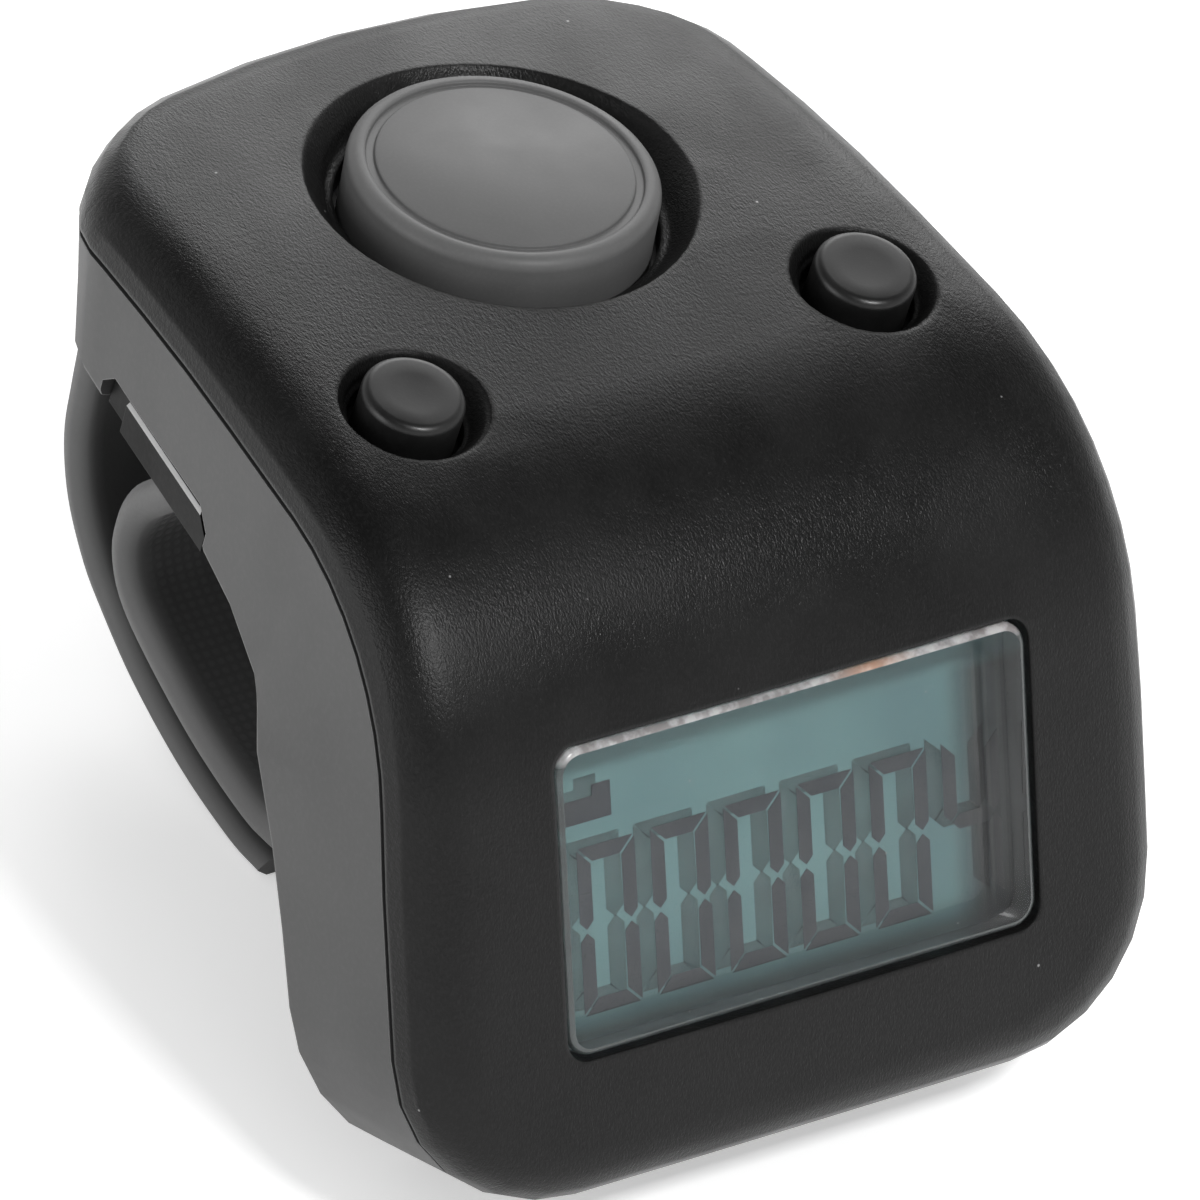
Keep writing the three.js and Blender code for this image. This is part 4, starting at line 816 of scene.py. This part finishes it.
shadeBars = barList((figures["shadeX"], figures["shadeY"]))
addPiece("lcd_shade", slabMesh([(grownOutline(bar, figures["soft"]), grownOutline(bar, -figures["soft"]))
                                for bar in shadeBars],
                               glass["front"] + figures["shadeRaise"], figures["shadeThick"]),
         lcdShade, "housing", sharp=180)
addPiece("lcd_figures", slabMesh([(bar, bar) for bar in barList((0, 0))],
                                 glass["front"] + figures["raise"], figures["thick"]),
         lcdInk, "housing")
print("display made")


# strap: drawn flat with its rims, then bent along its middle line
strap = {
    "width": 14, "thickness": 1.2, "tail": 0.56, "taper": 16, "head": 2.3, "headLength": 1.5,
    "rim": 0.4, "rimProud": 0.1, "rimWidth": 0.8, "sinkWidth": 0.3, "leastFlat": 0.03,
    "patternGap": 0.1, "wearAndHighlightFrom": 0.6, "rimHighlightWidth": 0.4,
    "alongStep": 0.35, "acrossStep": 0.35, "homeHeight": 23.906,
}
strapLine = [
    (-16.42, 7.2), (-13.76, 5.93), (-11.41, 4.74), (-8.2, 3.25), (-5.36, 2.26), (-2.94, 1.67), (-1.37, 1.69),
    (1.45, 2.33), (4.4, 3.47), (6.2, 4.48), (6.95, 5.6), (7.03, 6.72), (6.49, 7.99), (5.31, 9.27),
    (4.16, 10.73), (3.3, 12.53), (3.11, 14.45), (3.45, 16.31), (4.05, 17.75), (4.8, 18.75), (6, 19.22),
    (7.3, 19.38), (8.45, 19.42), (9.42, 19.22), (10.12, 18.6), (10.5, 17.6), (10.58, 16.4), (10.5, 15.1),
    (10.42, 13.4), (10.42, 11.44), (10.45, 9.86), (10.4, 8.01), (9.75, 6.09), (8.55, 4.5), (7.32, 3.5),
    (4.9, 2.02), (1.83, 0.85), (-1.11, 0.25), (-2.83, 0.22),
]


def smoothLine(points, perSpan):
    # the line through the points, rounded evenly between them
    ends = [tuple(2 * a - b for a, b in zip(points[0], points[1]))] + list(points)
    ends.append(tuple(2 * a - b for a, b in zip(points[-1], points[-2])))
    line = []
    for i in range(1, len(ends) - 2):
        p0, p1, p2, p3 = (Vector(ends[i + k]) for k in (-1, 0, 1, 2))
        for k in range(perSpan):
            t = k / perSpan
            line.append(0.5 * ((2 * p1) + (p2 - p0) * t + (2 * p0 - 5 * p1 + 4 * p2 - p3) * t ** 2
                               + (3 * p1 - p0 - 3 * p2 + p3) * t ** 3))
    line.append(Vector(points[-1]))
    return line


line = smoothLine(strapLine, 12)
lengths = [0.0]
for a, b in zip(line, line[1:]):
    lengths.append(lengths[-1] + (b - a).length)
strapLength = lengths[-1]


def onLine(distance):
    # place and direction of the middle line at a distance along it
    distance = min(max(distance, 0.0), strapLength)
    low = 0
    high = len(lengths) - 1
    while high - low > 1:
        half = (low + high) // 2
        low, high = (half, high) if lengths[half] <= distance else (low, half)
    share = (distance - lengths[low]) / max(lengths[high] - lengths[low], 1e-9)
    ahead = line[min(high + 1, len(line) - 1)] - line[max(low - 1, 0)]
    return line[low].lerp(line[high], share), ahead.normalized()


def strapMesh():
    bm = bmesh.new()
    uvLayer = bm.loops.layers.uv.new("strapPattern")
    inner = bm.verts.layers.float.new("innerFace")
    rimHighlight = bm.verts.layers.float.new("rim")
    across = round(strap["width"] / strap["acrossStep"])
    along = round(strapLength / strap["alongStep"])
    bmesh.ops.create_grid(bm, x_segments=across, y_segments=along, size=0.5)
    grown = bmesh.ops.extrude_face_region(bm, geom=bm.faces[:])
    top = {item for item in grown["geom"] if isinstance(item, bmesh.types.BMVert)}
    half = strap["width"] / 2
    for vert in bm.verts:
        x = vert.co.x * strap["width"]
        distance = (vert.co.y + 0.5) * strapLength
        sign = 1 if vert in top else -1
        thin = min(1.0, (strapLength - distance) / strap["taper"])
        thick = strap["tail"] + (strap["thickness"] - strap["tail"]) * thin
        if distance < strap["headLength"]:
            thick = strap["head"]
        fromEdge = half - abs(x)
        rim = min(strap["rim"], thick / 2 - strap["leastFlat"])
        drawn = 0.0
        if fromEdge < rim:
            drawn = rim - math.sqrt(max(0.0, rim ** 2 - (rim - fromEdge) ** 2))
        # the face between the rims is a little sunk
        sunk = strap["rimProud"] * min(1.0, max(0.0, (fromEdge - strap["rimWidth"]) / strap["sinkWidth"]))
        height = sign * (thick / 2 - drawn - (sunk if distance > strap["headLength"] else 0))
        patterned = fromEdge > strap["rimWidth"] + strap["patternGap"] and sign > 0
        vert[inner] = 1.0 if patterned else 0.0
        # share of the rims' painted highlight, fading inwards from the rim
        fromRim = (fromEdge - strap["rimWidth"] * strap["wearAndHighlightFrom"]) / strap["rimHighlightWidth"]
        vert[rimHighlight] = 1.0 - min(1.0, max(0.0, fromRim))
        vert.co = (x, distance, height)
    for face in bm.faces:
        for loop in face.loops:
            loop[uvLayer].uv = loop.vert.co.xy
    bmesh.ops.recalc_face_normals(bm, faces=bm.faces)
    origin = home - Vector((0, 0, strap["homeHeight"] * mm))
    for vert in bm.verts:
        x, distance, height = vert.co
        middle, ahead = onLine(distance)
        vert.co = origin + Vector((x, middle.x - ahead.y * height, middle.y + ahead.x * height)) * mm
    return bm


addPiece("strap_band", strapMesh(), strapRubber, "housing", ["strap"], 60)
print("strap made")


# finishes for the CAD bodies that stay as they are
finishes = {
    "count_plunger": plungerBlack, "left_plunger": plungerBlack, "right_plunger": plungerBlack,
    "count_switch": switchBlack, "left_switch": switchBlack, "right_switch": switchBlack,
    "rear_screw_left": screwSteel, "rear_screw_right": screwSteel,
    "leg_screw_left": screwSteel, "leg_screw_right": screwSteel,
    "key_board": boardGreen, "display_board": boardGreen, "display_bezel": bezelWhite,
    "zebra_strip": contactRubber, "light_guide": guideWhite, "backlight_led": ledAmber,
    "cell_clip": contactSteel, "cell_spring": contactSteel, "coin_cell": cellSteel,
    "controller_chip": chipBlack, "ribbon_cable": ribbonFilm,
}
for node, finish in finishes.items():
    mesh = nodes[node].data
    mesh.materials.clear()
    mesh.materials.append(finish)
print("inner bodies finished")


# floor and light
studio = {
    "floorTone": 0.82, "floorSpread": 0.004, "floorPatch": 0.05, "floorRough": 0.9, "floorShine": 0.1,
    "floorGlow": 0.42, "floorRadius": 3.0, "floorDrop": 0.00002, "worldLight": 0.6, "worldShown": 1.0,
    "zenith": 0.06, "paleUpTo": 0.2, "zenithFrom": 0.72, "aim": Vector((0, 0, 0.012)),
}
floorMesh = bmesh.new()
bmesh.ops.create_circle(floorMesh, cap_ends=True, radius=studio["floorRadius"], segments=96)
floorData = bpy.data.meshes.new("floor")
floorMesh.to_mesh(floorData)
floorMesh.free()
floor = bpy.data.objects.new("floor", floorData)
floor.location = (0, 0, -studio["floorDrop"])
bpy.context.scene.collection.objects.link(floor)


def shownRays(tree):
    # 1 for what the camera sees, straight, through glass or in a gloss
    path = tree.nodes.new("ShaderNodeLightPath").outputs
    seen = path["Is Camera Ray"]
    for ray in ("Is Glossy Ray", "Is Transmission Ray"):
        seen = maths(tree, "MAXIMUM", seen, path[ray])
    return seen, path["Is Glossy Ray"]


floorMaterial, floorTree, floorSurface = newMaterial("floor_white")
floorMottle = lumps(floorTree, objectPlace(floorTree), studio["floorPatch"], 2)["Height"]
feed(floorTree, floorSurface.inputs["Base Color"],
     blended(floorTree, floorMottle, grey(studio["floorTone"] - studio["floorSpread"]),
             grey(studio["floorTone"] + studio["floorSpread"])))
floorSurface.inputs["Roughness"].default_value = studio["floorRough"]
floorSurface.inputs["Specular IOR Level"].default_value = studio["floorShine"]
floorSurface.inputs["Emission Color"].default_value = (1, 1, 1, 1)
feed(floorTree, floorSurface.inputs["Emission Strength"],
     ranged(floorTree, shownRays(floorTree)[0], 0, 1, 0, studio["floorGlow"]))
floorData.materials.append(floorMaterial)

# the studio's ceiling is dark in reflections, its walls are white
world = bpy.data.worlds.new("studio")
bpy.context.scene.world = world
world.use_nodes = True
worldTree = world.node_tree
background = worldTree.nodes["Background"]
worldShown, worldMirrored = shownRays(worldTree)
worldPlace = worldTree.nodes.new("ShaderNodeTexCoord").outputs["Generated"]
heading = addNode(worldTree, "ShaderNodeSeparateXYZ", {0: worldPlace})
ceiling = ranged(worldTree, heading.outputs["Z"], studio["paleUpTo"], studio["zenithFrom"], 0, 1)
mirrored = blended(worldTree, ceiling, grey(studio["worldShown"]), grey(studio["zenith"]))
lit = blended(worldTree, worldShown, grey(studio["worldLight"]), grey(studio["worldShown"]))
feed(worldTree, background.inputs["Color"], blended(worldTree, worldMirrored, lit, mirrored))

lamps = {
    "rear_softbox": {"place": (0.34, 0.4, 0.3), "size": 0.36, "power": 1.65},
    "left_softbox": {"place": (-0.5, 0.05, 0.16), "size": 0.3, "power": 0.75},
    "front_lamp": {"place": (0.024, -0.264, 0.371), "size": 0.07, "power": 1.2},
}
for name, lamp in lamps.items():
    light = bpy.data.lights.new(name, "AREA")
    light.shape = "SQUARE"
    light.size = lamp["size"]
    light.energy = lamp["power"]
    holder = bpy.data.objects.new(name, light)
    holder.location = lamp["place"]
    towards = studio["aim"] - Vector(lamp["place"])
    holder.rotation_euler = towards.to_track_quat("-Z", "Y").to_euler()
    bpy.context.scene.collection.objects.link(holder)
print("studio lit")

bpy.context.view_layer.update()
